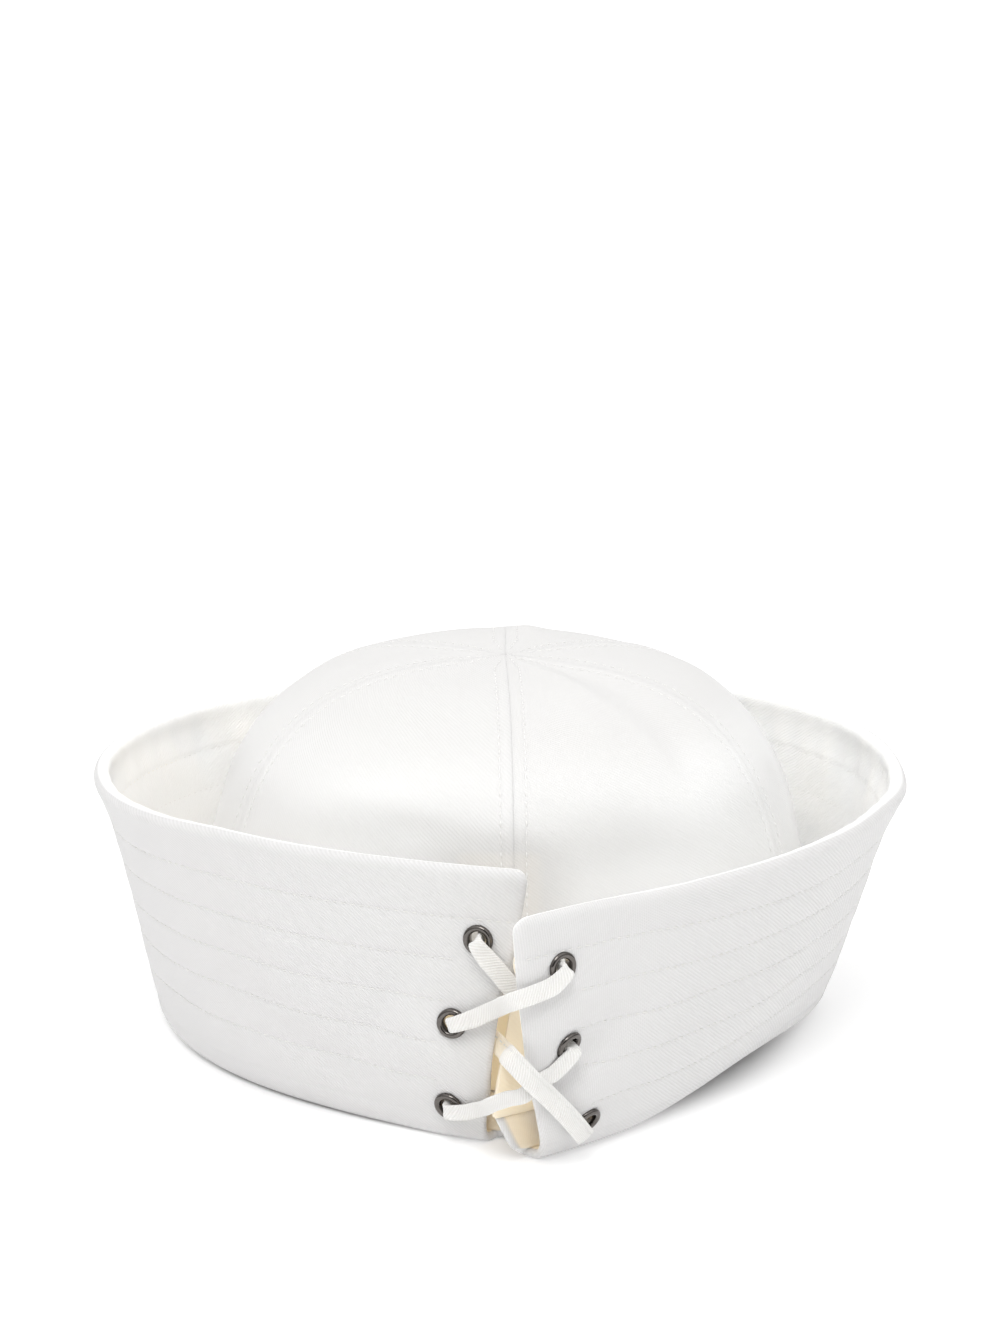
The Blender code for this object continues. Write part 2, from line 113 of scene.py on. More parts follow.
CROWN_CENTRE = (CENTRE[0] + 1.2 * MM, CENTRE[1] + 2.9 * MM)
CROWN_HALF_WIDTH = 87.5 * MM
CROWN_HALF_DEPTH = 92.0 * MM
CROWN_HEIGHT = 109.5 * MM
CROWN_POWER = 3.4  # 2 would be an ellipse, and more is squarer
CROWN_WALL = 1.6 * MM
CROWN_BLEND = 36.0 * MM  # height over which the dome leaves the brim's plan for its own
SEAM_GAP = 0.3 * MM  # between the leg and the crown's foot
LAPPED = 30.0 * MM  # under this height over the leg the front right panel laps over the left
LAP_DEPTH = 2.3 * MM
PANELS = (
    # name, start, end, start_lap, end_lap
    ("crown_panel_front_left", -1.6, 65.0, -5.0, 0.0),
    ("crown_panel_side_left", 65.0, 121.0, 0.0, 0.0),
    ("crown_panel_back_left", 121.0, 180.0, 0.0, 0.0),
    ("crown_panel_back_right", 180.0, 238.0, 0.0, 0.0),
    ("crown_panel_side_right", 238.0, 295.5, 0.0, 0.0),
    ("crown_panel_front_right", 295.5, 358.4, 0.0, 0.3),
)
DENTS = (
    # Hollows of the dome, or a swelling where the depth is negative, in degrees and mm.
    # angle, height, half_angle, half_height, depth
    (11, 66, 19, 15, 2.6),
    (338, 72, 14, 12, 2.5),
    (313, 97, 9, 12, 1.5),
    (335, 104, 8, 5, -1.2),
)

EYELET_FLANGE = 4.1 * MM  # this and the next three are radii
EYELET_BORE = 2.3 * MM
EYELET_TUBE = 2.8 * MM
HOLE = 3.2 * MM
EYELETS = (
    # name, angle, up
    ("eyelet_left_top", 2.7, 62.0 * MM),
    ("eyelet_left_middle", 6.5, 38.5 * MM),
    ("eyelet_left_bottom", 7.9, 13.5 * MM),
    ("eyelet_right_top", 355.2, 63.2 * MM),
    ("eyelet_right_middle", 353.7, 40.4 * MM),
    ("eyelet_right_bottom", 349.1, 15.0 * MM),
)

LACE_WIDTH = 5.5 * MM
LACE_THICKNESS = 1.5 * MM
LACE_THREADED = 3.9 * MM  # its width where it passes an eyelet
LACE_FACE = (0.0, -0.95, 0.31)  # the way the tape faces where it lies free in front
THREADED_OUT = 2.2  # mm off the skin, in front of an eyelet
BEHIND = -(BRIM_WALL / MM + 2.6)  # mm off the skin, behind the wall
LACE_RUNS = (
    # eyelet it comes from, points on its way (angle, up, out: degrees and mm), eyelet it goes to,
    # share of its width
    (None, ((350.0, 12.5, 3.2), (354.6, 23.6, 3.4), (356.9, 29.4, 4.1), (359.6, 36.4, 4.2),
            (361.2, 41.4, 2.5), (-0.4, 32.3, -2.0), (1.0, 33.2, -4.3), (3.4, 35.4, BEHIND)),
     "eyelet_left_middle", 1.0),
    ("eyelet_left_middle", ((3.0, 41.2, 2.4), (0.0, 44.5, 3.6), (361.3, 58.1, 2.4),
                            (358.8, 58.8, 2.0), (356.8, 59.9, 2.0)), "eyelet_right_top", 0.88),
    ("eyelet_right_top", ((358.5, 62.5, BEHIND - 2), (-3.0, 62.0, BEHIND), (0.2, 62.0, BEHIND)),
     "eyelet_left_top", 1.0),
    ("eyelet_left_top", ((1.2, 58.1, 2.0), (-0.3, 54.9, 1.6), (-2.3, 50.1, 1.0),
                         (-4.5, 46.5, 0.4), (356.5, 47.5, BEHIND)), "eyelet_right_middle", 0.95),
    ("eyelet_right_middle", ((354.4, 37.4, 2.4), (355.8, 34.5, 2.0), (357.8, 33.2, 1.8),
                             (359.5, 30.8, 1.8), (-3.5, 27.0, 17.0), (-1.7, 24.4, 14.0),
                             (2.5, 16.1, 3.2), (5.2, 13.8, 2.2)), "eyelet_left_bottom", 0.78),
    ("eyelet_left_bottom", ((10.8, 18.0, BEHIND),), None, 1.0),
)

# ---- Sizes of the looks alone ----

ROW_UPS = tuple(BRIM_HEIGHT - HEM - ROW_PITCH * k for k in range(ROWS))
BRIM_COLUMN = 1.55 * MM  # cloth between two columns of the brim's mesh
BRIM_RADIUS = 97 * MM  # for turning that into degrees
FRONT_RADII = (100 * MM, 112 * MM)  # the brim's at its left and right front edges
FRONT_DEGREE = 1.85 * MM  # cloth in a degree of turn at the front edges
EDGE_ROUND = 1.2 * MM  # the brim's edges are full folds of its wall
RIM_ROUND = 2.5 * MM  # the rim is rolled over more cloth than the other edges
RIM_SWELL = (0.9 * MM, 1.4 * MM)  # the rolled rim over the wall's thickness, and more at the sides
CORNER = 4.0 * MM  # radius of the flaps' corners at the rim
CORNER_DEGREE = 1.9 * MM  # cloth in a degree of turn at those corners
PINCH = 2.2 * MM  # how far the fold's ends are pressed together
DROOP = 3.0 * MM  # how far the right flap's hem sags towards the front
FLARES = ((78, 34, 7), (272, 32, 6))  # angle, half_angle, degrees that the hem leans out more
FACING = 13.0 * MM  # depth of the turned-in cloth inside the rim
PLACKET = 14.0 * MM  # front edges to where rows two to five end
TOP_ROW_END = 1.6 * MM  # front edges to where row one ends

VALLEY = 0.15 * MM  # how deep a row of stitches pulls the cloth in
VALLEY_HALF = 0.65 * MM
PUFF = 0.11 * MM  # how far a channel between two rows swells
HEM_PUFF = 0.22 * MM  # and the hem over the first row
SLACK = 0.25 * MM  # wide, cloudy unevenness of the brim
PUCKER = 0.06 * MM  # short, slanting waves along the rows
PUCKER_PITCH = 6.3 * MM
FACING_STEP = 0.12 * MM  # the facing's thickness over the brim's inner face
GATHER = 0.85 * MM  # height of the gathers under the facing
EYELET_PRESS = 0.35 * MM  # how far an eyelet's flange presses the cloth in

STITCH = 1.9 * MM  # seen length of a stitch of the brim
STITCH_PITCH = 2.6 * MM
THREAD = 0.42 * MM
CROWN_STITCH = 2.0 * MM
CROWN_STITCH_PITCH = 2.7 * MM
CROWN_THREAD = 0.44 * MM

SEAM_CURL = 0.03 * MM  # how far a panel's edge turns down into the seam
SEAM_CURL_WIDTH = 0.4 * MM
FELL = 3.3 * MM  # seam to its topstitching
FELL_RISE = 0.2 * MM  # the turned cloth under the seam lifts the panel
FELL_VALLEY = 0.22 * MM  # how deep the topstitching pulls it in
SEAM_COLUMNS = MM * np.array([0.008, 0.05, 0.25, 0.55, 0.95, 1.5, 2.2, 2.8, 3.2, 3.6, 4.0, 4.5,
                              5.3, 6.4])  # a panel's mesh columns, from its edge
TOPSTITCHED = 9  # the one that carries the topstitching
PANEL_ROWS = 104
PANEL_COLUMNS = 46  # a panel's mesh columns between those
TIP_ROWS = (0.988, 0.991, 0.994, 0.997, 1.0)  # the last rows, as shares of a panel's rise
TIP = 0.35 * MM  # radius of the hole that the panels' points leave at the top
PANEL_SLACK = 0.35 * MM  # wide, cloudy unevenness of a panel
FOLDS = (
    # Soft creases of the dome, or ridges where the depth is negative, in mm.
    # start, end, half_width, depth
    ((9, 3, 109), (26, -25, 106), 3.2, -0.8),
    ((24, -22, 107), (45, -40, 94), 4.0, -0.7),
    ((14, 6, 109), (42, -22, 103), 5.5, 0.45),
    ((47, -29, 98), (52, -38, 90), 4.0, 0.35),
    ((-9, 12, 110), (-11, -24, 107), 3.0, 0.6),
    ((9, 62, 106), (7, 40, 109), 5.0, -1.1),
    ((-30, 20, 108), (-50, 0, 102), 5.0, 0.6),
    ((-47, -46, 86), (-18, -62, 86), 4.5, -0.5),
    ((-31, -58.5, 81), (-8, -66.7, 79), 3.5, 0.5),
    ((-8, -66.7, 79), (12, -69, 74), 3.5, 0.3),
    ((78, 5, 81), (83, -3, 64), 4.5, -1.0),
)

FLANGE_RISE = 1.05 * MM  # height of an eyelet's rolled flange over its own rim
CLINCH_RISE = 0.75 * MM  # and of the tube's rolled end behind the wall
EYELET_SIDES = 72

LACE_STEP = 0.8 * MM  # cloth between two rows of the tape's mesh
LACE_FOLD = 0.55  # where the tape's fold is stitched, from its middle at 0 to its edge at 1
LACE_STITCHES = (2.1 * MM, 1.5 * MM, 0.4 * MM)  # pitch, length and width

PAINTED_LIGHT, PAINTED_WARM_LIGHT = "#FCFCFB", "#FFEDCC"  # painted lighter white, and the painted warm colour of cloth with daylight behind it
PAINTED_GLOW = 0.22  # painted glow: how much cloth with daylight behind it emits, though it is no lamp

TABLE_HALF = 6.0
TABLE_GLOW = 0.26  # how much the table's top shines, all but where the cap stands
TABLE_GLOW_IN_PAINTED_SHADOW = 0.02  # and round the cap's foot: less glow, a painted shadow
UNDER_CAP = (-5 * MM, 9 * MM, 0)
PAINTED_SHADOW_RADII = (76 * MM, 94 * MM)  # where the painted shadow round the cap's foot starts to fade and where the glow is whole
LIGHTS = (
    # name, place, size, power
    ("softbox_above", (-0.1, -0.82, 1.16), 0.6, 5.5),
)
ROOM_LOW, ROOM_HIGH = 0.56, 1.42  # the room's brightness near the floor and overhead
ROOM_SEEN = 1.05  # and as the camera sees it
ROOM_UP = (0.0, -0.2, 0.98)
ROOM_RISE = (0.35, 0.95)  # it grows brighter between these cosines from the way up
ROOM_FRONT = (0.0, -0.955, 0.295)  # the way to its dark place, where the camera stands
ROOM_FRONT_RIM = (0.90, 0.97)  # which begins and is whole at these cosines from that way
ROOM_FRONT_SHADE = 0.12

CAMERA_PLACE = (0.0004, -1.02137, 0.36529)
CAMERA_DROP = 14.069  # degrees below level
CAMERA_LENS = 101.04  # mm
CAMERA_SENSOR = 36.0  # mm high

SEED = 7


# ---- Curves and surfaces of the part ----

def unit(vectors):
    """The vectors at length 1."""
    return vectors / np.linalg.norm(vectors, axis=-1, keepdims=True)


def lengths_along(points):
    """How far along a line each of its points lies."""
    return np.concatenate([[0], np.cumsum(np.linalg.norm(np.diff(points, axis=0), axis=1))])


def read(x, at, vectors):
    """The vectors between those at the places, each coordinate read in straight steps."""
    return np.stack([np.interp(x, at, vectors[:, k]) for k in range(3)], -1)


def curve(x, at, values):
    """A cubic through the values at those places, with the slopes of the chords beside them."""
    at, values = np.asarray(at, float), np.asarray(values, float)
    slopes = np.gradient(values, at)
    i = np.clip(np.searchsorted(at, x, side="right") - 1, 0, len(at) - 2)
    span = at[i + 1] - at[i]
    t = (x - at[i]) / span
    start = (1 + 2 * t) * (1 - t) ** 2 * values[i] + t * (1 - t) ** 2 * span * slopes[i]
    end = t**2 * (3 - 2 * t) * values[i + 1] + t**2 * (t - 1) * span * slopes[i + 1]
    return start + end


def smooth(x, low, high):
    """0 below low, 1 above high, with no corner between."""
    t = np.clip((x - low) / (high - low), 0, 1)
    return t * t * (3 - 2 * t)


def bell(x, half):
    """1 at 0, and 1/e at half to either side: exp(-(x / half)^2)."""
    return np.exp(-((x / half) ** 2))


def wobble(x, y, size, seed):
    """Cloudy unevenness from about -1 to 1: six sine waves of about that size, six ways."""
    rng = np.random.default_rng(SEED + seed)
    total = np.zeros(np.broadcast(x, y).shape)
    for bearing in rng.uniform(0, np.pi, 6):
        wave = 2 * np.pi / (size * rng.uniform(0.7, 1.5))
        phase = rng.uniform(0, 2 * np.pi)
        total += np.sin(wave * (x * np.cos(bearing) + y * np.sin(bearing)) + phase)
    return total / 3.5


def station(column, angle):
    """One column of the stations' table at an angle."""
    table = np.array(STATIONS, float)
    return curve(angle, table[:, 0], table[:, STATION_COLUMNS.index(column)])


def plan(angle):
    """The foot line seen from above: x = -r sin(angle), y = -r cos(angle), from the centre."""
    turn = np.radians(angle)
    radius = station("radius", angle) * MM
    return np.stack([CENTRE[0] - radius * np.sin(turn), CENTRE[1] - radius * np.cos(turn)], -1)


def outward(angle):
    """The way out from the foot line, seen from above and square to it."""
    along = unit(plan(angle + 0.5) - plan(angle - 0.5))
    return np.stack([-along[..., 1], along[..., 0]], -1)


def flared(angle, up):
    """How many degrees more the hem leans out at the cap's sides: a bell over the angle at each."""
    lean = sum(most * bell(angle - at, half) for at, half, most in FLARES)
    return lean * smooth(up, BRIM_HEIGHT - 34 * MM, BRIM_HEIGHT)


def slope(angle, up):
    """How far the outer skin leans out from upright, in radians, at a height up the cloth.

    The lean is the station's, plus its tuck times the cube of the height that is left, plus the
    flare. Over the foot's arc it turns to level as the power 1.5 of the arc that is left.
    """
    share = 1 - up / BRIM_HEIGHT
    lean = station("lean", angle) + station("tuck", angle) * share**3 + flared(angle, up)
    turning = np.clip(1 - up / FOOT_ARC, 0, 1) ** 1.5
    return np.radians(lean * (1 - turning) + 90 * turning)


def climb(angle, up):
    """How far out and how high the outer skin is, its slope summed from the fold upwards."""
    out, rise = np.zeros(up.shape), np.zeros(up.shape)
    for middle in (np.arange(CLIMB_STEPS) + 0.5) / CLIMB_STEPS:
        lean = slope(angle, middle * up)
        out += np.sin(lean)
        rise += np.cos(lean)
    return out * up / CLIMB_STEPS, rise * up / CLIMB_STEPS


def placed(angle, out, rise):
    """Points out from the foot line and above the fold, in the cap's frame."""
    foot, level = plan(angle), outward(angle)
    lift = np.maximum(station("lift", angle), 0) * MM
    return np.concatenate([foot + level * out[..., None], (lift + rise)[..., None]], -1)


def creased(angle, up):
    """Depth of the brim's creases: a bell curve along each and another across it."""
    depth = np.zeros_like(up)
    for at, height, bearing, half_length, half_width, deep in CREASES:
        right = np.radians(at - angle) * station("radius", at)
        above = up / MM - height
        turn = math.radians(bearing)
        along = (right * math.cos(turn) + above * math.sin(turn)) / half_length
        across = (above * math.cos(turn) - right * math.sin(turn)) / half_width
        depth += deep * MM * np.exp(-(along**2) - across**2)
    return depth * np.clip(up / FOOT_ARC, 0, 1)


def skin(angle, up, off=0.0):
    """Points on the brim's outer skin, or off it along its normal, less the creases' depth."""
    angle, up = np.broadcast_arrays(np.asarray(angle, float), np.asarray(up, float))
    out, rise = climb(angle, up)
    lean = slope(angle, up)
    off = off - creased(angle, up)
    out = out - fold_reach(angle) + off * np.cos(lean)
    return placed(angle, out, rise - off * np.sin(lean))


def skin_normal(angle, up):
    """The brim's outward normal, from its two tangents over about the breadth of an eyelet."""
    around = skin(angle + 2.0, up) - skin(angle - 2.0, up)
    climbing = skin(angle, up + 3 * MM) - skin(angle, up - 3 * MM)
    return unit(np.cross(climbing, around))


def fold_reach(angle):
    """How far in from the foot line the fold's lowest line lies."""
    reach, _ = climb(angle, np.full_like(angle, FOOT_ARC))
    return reach


# ---- Meshes ----

def outward_faces(points, faces):
    """The faces, turned over if the closed shape's signed volume says that they face inwards."""
    a, b, c, d = (points[faces[:, k]] for k in range(4))
    volume = (a * np.cross(b, c)).sum() + (a * np.cross(c, d)).sum()
    return faces if volume > 0 else faces[:, ::-1]


def add_object(name, data):
    """An object in the scene, unturned at the origin, that shows the mesh, light or camera."""
    thing = bpy.data.objects.new(name, data)
    bpy.context.scene.collection.objects.link(thing)
    return thing


def add_piece(name, points, faces, maps, material, nodes=()):
    """A piece of the cap from points, faces of four and its UV maps, a row for each point."""
    mesh = bpy.data.meshes.new(name)
    mesh.from_pydata(points.tolist(), [], faces.tolist())
    corners = np.zeros(len(mesh.loops), np.int32)
    mesh.loops.foreach_get("vertex_index", corners)
    for title, flat in maps.items():
        layer = mesh.uv_layers.new(name=title)
        layer.data.foreach_set("uv", flat[corners].astype(np.float32).ravel())
    mesh.materials.append(material)
    mesh.shade_smooth()
    piece = add_object(name, mesh)
    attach(piece, "root")
    if nodes:
        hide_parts(*nodes)
    return piece


def grid_faces(rows, columns, first=0):
    """The faces of a grid of points that are numbered row by row."""
    index = np.arange(rows * columns).reshape(rows, columns) + first
    corners = [index[:-1, :-1], index[:-1, 1:], index[1:, 1:], index[1:, :-1]]
    return np.stack(corners, -1).reshape(-1, 4)


def two_skins(front, back):
    """Points and faces of a closed shell from two grids, joined round their borders."""
    rows, columns = front.shape[:2]
    index = np.arange(rows * columns).reshape(rows, columns)
    border = np.concatenate([index[0, :], index[1:, -1], index[-1, -2::-1], index[-2:0:-1, 0]])
    after = np.roll(border, -1)
    behind = rows * columns
    strip = np.stack([after, border, border + behind, after + behind], -1)
    faces = np.concatenate([grid_faces(rows, columns),
                            grid_faces(rows, columns, behind)[:, ::-1], strip])
    points = np.concatenate([front.reshape(-1, 3), back.reshape(-1, 3)])
    return points, outward_faces(points, faces)


def twice(*values):
    """A UV map for both skins of a shell from its two grids of coordinates."""
    flat = np.stack(np.broadcast_arrays(*values), -1).reshape(-1, 2)
    return np.concatenate([flat, flat])


def tubes(centres, ways, sides, normals, half_lengths, half_widths, half_heights, sink):
    """Many stitches as one mesh: each an ellipsoid of six rings of six, bowed down at its ends.

    Along it, a from -1 to 1, the width follows sqrt(1 - a^2), and the middle line drops by
    sink times a^2. Its two end rings are almost points, and closed.
    """
    along = np.array([-1.0, -0.8, -0.3, 0.3, 0.8, 1.0])[None, :, None, None]
    round_it = (np.arange(6) / 6 * 2 * np.pi)[None, None, :, None]
    girth = np.sqrt(np.maximum(1 - along**2, 1e-4))

    def each(values):
        return np.asarray(values)[:, None, None, :]

    def size(values):
        return np.broadcast_to(values, len(centres))[:, None, None, None]

    points = each(centres) + each(ways) * along * size(half_lengths)
    points = points + each(sides) * girth * np.cos(round_it) * size(half_widths)
    rise = girth * np.sin(round_it) * size(half_heights) - sink * along**2
    points = points + each(normals) * rise
    ring, side = np.meshgrid(np.arange(5) * 6, np.arange(6), indexing="ij")
    follow = (side + 1) % 6
    faces = np.stack([ring + side, ring + follow, ring + 6 + follow, ring + 6 + side], -1)
    caps = np.array([[0, 5, 4, 3], [0, 3, 2, 1], [30, 31, 32, 33], [30, 33, 34, 35]])
    one = np.concatenate([faces.reshape(-1, 4), caps])
    faces = (one[None] + (np.arange(len(centres)) * 36)[:, None, None]).reshape(-1, 4)
    flat = np.stack(np.broadcast_arrays(along, round_it), -1).reshape(-1, 2)
    flat = np.tile(flat, (len(centres), 1))
    points = points.reshape(-1, 3)
    return points, outward_faces(points, faces), flat


def stitches(line, normals, pitch, length, width, sink=0.2 * MM, proud=0.05 * MM):
    """What tubes() takes, for stitches a pitch apart along a line on the cloth.

    Their places, lengths and bearings are a little uneven.
    """
    along = lengths_along(line)
    count = int(along[-1] / pitch)
    rng = np.random.default_rng(SEED + count)
    at = (np.arange(count) + 0.5) * along[-1] / count + rng.uniform(-0.05, 0.05, count) * pitch
    centres = read(at, along, line)
    ends = read(at + length / 2, along, line), read(at - length / 2, along, line)
    ways = unit(ends[0] - ends[1] + 1e-9)
    face = unit(read(at, along, normals))
    sides = unit(np.cross(face, ways))
    turn = rng.normal(0, 0.035, count)[:, None]
    turned_ways = ways * np.cos(turn) + sides * np.sin(turn)
    turned_sides = sides * np.cos(turn) - ways * np.sin(turn)
    long = length / 2 * rng.uniform(0.93, 1.05, count)
    centres = centres + face * proud
    return centres, turned_ways, turned_sides, face, long, width / 2, width * 0.36, sink


# ---- Materials ----

def linear(code):
    """A linear colour from an sRGB hex code."""
    parts = np.array([int(code[k:k + 2], 16) / 255 for k in (1, 3, 5)])
    parts = np.where(parts <= 0.04045, parts / 12.92, ((parts + 0.055) / 1.055) ** 2.4)
    return (*parts.tolist(), 1.0)


def add_node(material, kind, settings=(), links=()):
    """A node with its properties or input values set, and its inputs linked to sockets."""
    node = material.node_tree.nodes.new(kind)
    for key, value in dict(settings).items():
        if isinstance(key, str) and hasattr(node, key):
            setattr(node, key, value)
        else:
            node.inputs[key].default_value = value
    for key, socket in dict(links).items():
        material.node_tree.links.new(socket, node.inputs[key])
    return node


def principled(name, **values):
    """A material with its Principled shader, whose even values are set on its own sockets."""
    material = bpy.data.materials.new(name)
    material.use_nodes = True
    shader = material.node_tree.nodes["Principled BSDF"]
    for key, value in values.items():
        shader.inputs[key.replace("_", " ")].default_value = value
    return material, shader


def waves(material, flat, wavelength, degrees, shift=None):
    """A sine across the cloth of that wavelength, whose lines climb at that many degrees."""
    turn, wave = math.radians(degrees), 2 * math.pi / wavelength
    across = (-math.sin(turn) * wave, math.cos(turn) * wave, 0)
    phase = add_node(material, "ShaderNodeVectorMath",
                     {"operation": "DOT_PRODUCT", 1: across}, {0: flat}).outputs["Value"]
    if shift is not None:
        phase = add_node(material, "ShaderNodeMath", {"operation": "ADD"},
                         {0: phase, 1: shift}).outputs[0]
    return add_node(material, "ShaderNodeMath", {"operation": "SINE"}, {0: phase}).outputs[0]


def woven(name, light, deep, wale, wale_degrees, relief, sheen):
    """Bleached cotton cloth: white and matt, with slightly darker grooves between its wales.

    Twill wales are crossed by yarns, over uneven thread and a little nap, and the colour is painted
    darker where the weave is low: painted shade in its grooves. Real wales are finer: they are
    drawn as coarse as they need to show. The map "cloth" is in metres on the cloth.
    "tone" holds painted light and shade in X. At 0 it is the plain colour, and at -1 it is painted
    lighter. On to -2 it also glows, a painted glow for light from behind shining through it. Up to
    1 it is painted warm and glows from 0.4, a painted warm light where light would reach it only
    through other cloth.
    In Y it holds how much the wales give way to upright ribs.
    """
    material, shader = principled(name, Roughness=0.88, Sheen_Weight=sheen, Sheen_Roughness=0.45,
                                  Subsurface_Weight=0.3, Subsurface_Scale=1.0,
                                  Subsurface_Radius=(2.3 * MM, 2.3 * MM, 2.2 * MM))
    shader.inputs["Specular IOR Level"].default_value = 0.25
    flat = add_node(material, "ShaderNodeUVMap", {"uv_map": "cloth"}).outputs["UV"]
    tone = add_node(material, "ShaderNodeUVMap", {"uv_map": "tone"}).outputs["UV"]
    tone = add_node(material, "ShaderNodeSeparateXYZ", {}, {0: tone})
    shade, ribbed = tone.outputs["X"], tone.outputs["Y"]

    uneven = add_node(material, "ShaderNodeTexNoise", {"Scale": 1 / (7 * MM), "Detail": 3.0},
                      {"Vector": flat})
    drift = add_node(material, "ShaderNodeMath", {"operation": "MULTIPLY", 1: 5.0},
                     {0: uneven.outputs[0]}).outputs[0]
    wales = waves(material, flat, wale, wale_degrees, drift)
    ribs = waves(material, flat, wale * 0.8, 84, drift)
    face = add_node(material, "ShaderNodeMix", {"data_type": "FLOAT"},
                    {0: ribbed, 2: wales, 3: ribs}).outputs[0]
    yarns = waves(material, flat, wale * 0.55, wale_degrees + 75)
    nap = add_node(material, "ShaderNodeTexNoise", {"Scale": 1 / (0.4 * MM), "Detail": 2.0},
                   {"Vector": flat})
    height = add_node(material, "ShaderNodeMath", {"operation": "MULTIPLY_ADD", 1: 0.25},
                      {0: yarns, 2: face}).outputs[0]
    height = add_node(material, "ShaderNodeMath", {"operation": "MULTIPLY_ADD", 1: 1.2},
                      {0: nap.outputs[0], 2: height}).outputs[0]
    bump = add_node(material, "ShaderNodeBump", {"Strength": 1.0, "Distance": relief},
                    {"Height": height})

    # painted shade: the colour is darker where the weave's height is low, in the grooves
    groove_shade = add_node(material, "ShaderNodeMapRange", {1: -1.0, 2: 1.6, 3: 0.0, 4: 1.0},
                       {0: height}).outputs[0]
    # painted light: lighter shades mix the colour towards a painted lighter white, and warm ones
    # towards a painted warm colour
    painted_lighter = add_node(material, "ShaderNodeMapRange", {1: 0.0, 2: -1.0, 3: 0.0, 4: 0.9},
                     {0: shade}).outputs[0]
    painted_warmth = add_node(material, "ShaderNodeMapRange", {1: 0.0, 2: 1.0}, {0: shade}).outputs[0]
    colour = add_node(material, "ShaderNodeMix",
                      {"data_type": "RGBA", 6: linear(deep), 7: linear(light)}, {0: groove_shade})
    for share, code in ((painted_lighter, PAINTED_LIGHT), (painted_warmth, PAINTED_WARM_LIGHT)):
        colour = add_node(material, "ShaderNodeMix", {"data_type": "RGBA", 7: linear(code)},
                          {0: share, 6: colour.outputs[2]})

    # painted glow: the cloth emits warm light where the shade is warm or lit through, though it is
    # no lamp
    lit = [add_node(material, "ShaderNodeMapRange", {1: dark, 2: full, 3: 0.0, 4: PAINTED_GLOW},
                    {0: shade}).outputs[0] for dark, full in ((0.4, 1.0), (-1.0, -2.0))]
    glow = add_node(material, "ShaderNodeMath", {"operation": "ADD"}, {0: lit[0], 1: lit[1]})
    shader.inputs["Emission Color"].default_value = linear(PAINTED_WARM_LIGHT)
    links = material.node_tree.links
    links.new(glow.outputs[0], shader.inputs["Emission Strength"])
    links.new(colour.outputs[2], shader.inputs["Base Color"])
    links.new(bump.outputs[0], shader.inputs["Normal"])
    return material


def sewn(name, colour):
    """Spun sewing thread: smoother than the cloth, with the slanting twist of its plies.

    A stitch's own map runs from -1 to 1 along it and once round it in radians.
    """
    material, shader = principled(name, Roughness=0.55, Sheen_Weight=0.1)
    shader.inputs["Base Color"].default_value = linear(colour)
    flat = add_node(material, "ShaderNodeUVMap", {"uv_map": "cloth"}).outputs["UV"]
    plies = waves(material, flat, 0.7, 60)
    bump = add_node(material, "ShaderNodeBump", {"Strength": 0.5, "Distance": 0.05 * MM},
                    {"Height": plies})
    material.node_tree.links.new(bump.outputs[0], shader.inputs["Normal"])
    return material


def gunmetal():
    """Black-nickel plate on pressed brass: a dark mirror with fine handling marks."""
    material, shader = principled("black_nickel_plate", Metallic=1.0, Roughness=0.2)
    place = add_node(material, "ShaderNodeTexCoord").outputs["Object"]
    marks = add_node(material, "ShaderNodeTexNoise", {"Scale": 1 / (0.8 * MM), "Detail": 4.0},
                     {"Vector": place}).outputs[0]
    rough = add_node(material, "ShaderNodeMapRange", {1: 0.3, 2: 0.7, 3: 0.06, 4: 0.14}, {0: marks})
    colour = add_node(material, "ShaderNodeMix",
                      {"data_type": "RGBA", 6: linear("#5A5653"), 7: linear("#726E6B")}, {0: marks})
    links = material.node_tree.links
    links.new(rough.outputs[0], shader.inputs["Roughness"])
    links.new(colour.outputs[2], shader.inputs["Base Color"])
    return material


# ---- The brim ----

def run(angle):
    """Cloth length round the brim at its foot line, from the first station to an angle."""
    fine = np.linspace(STATIONS[0][0], STATIONS[-1][0], 1481)
    return np.interp(angle, fine, lengths_along(plan(fine)))


def front_edges(up):
    """The angles of the left and right flap's front edges at heights up the cloth."""
    share = up / BRIM_HEIGHT
    return curve(share, EDGE_AT, LEFT_EDGE), curve(share, EDGE_AT, RIGHT_EDGE)


def from_edges(angle, up):
    """Cloth from a place to the nearer front edge."""
    left, right = front_edges(up)
    return np.minimum(run(angle) - run(left), run(right) - run(angle))


def pressed(angle, up):
    """How far the eyelets' flanges press the cloth in: a bell round each one."""
    depth = np.zeros(np.broadcast(angle, up).shape)
    for _, at, height in EYELETS:
        right = np.radians(angle - at) * station("radius", at) * MM
        away = np.hypot(right, up - height)
        depth += EYELET_PRESS * np.exp(-(away / (1.5 * EYELET_FLANGE)) ** 4)
    return depth


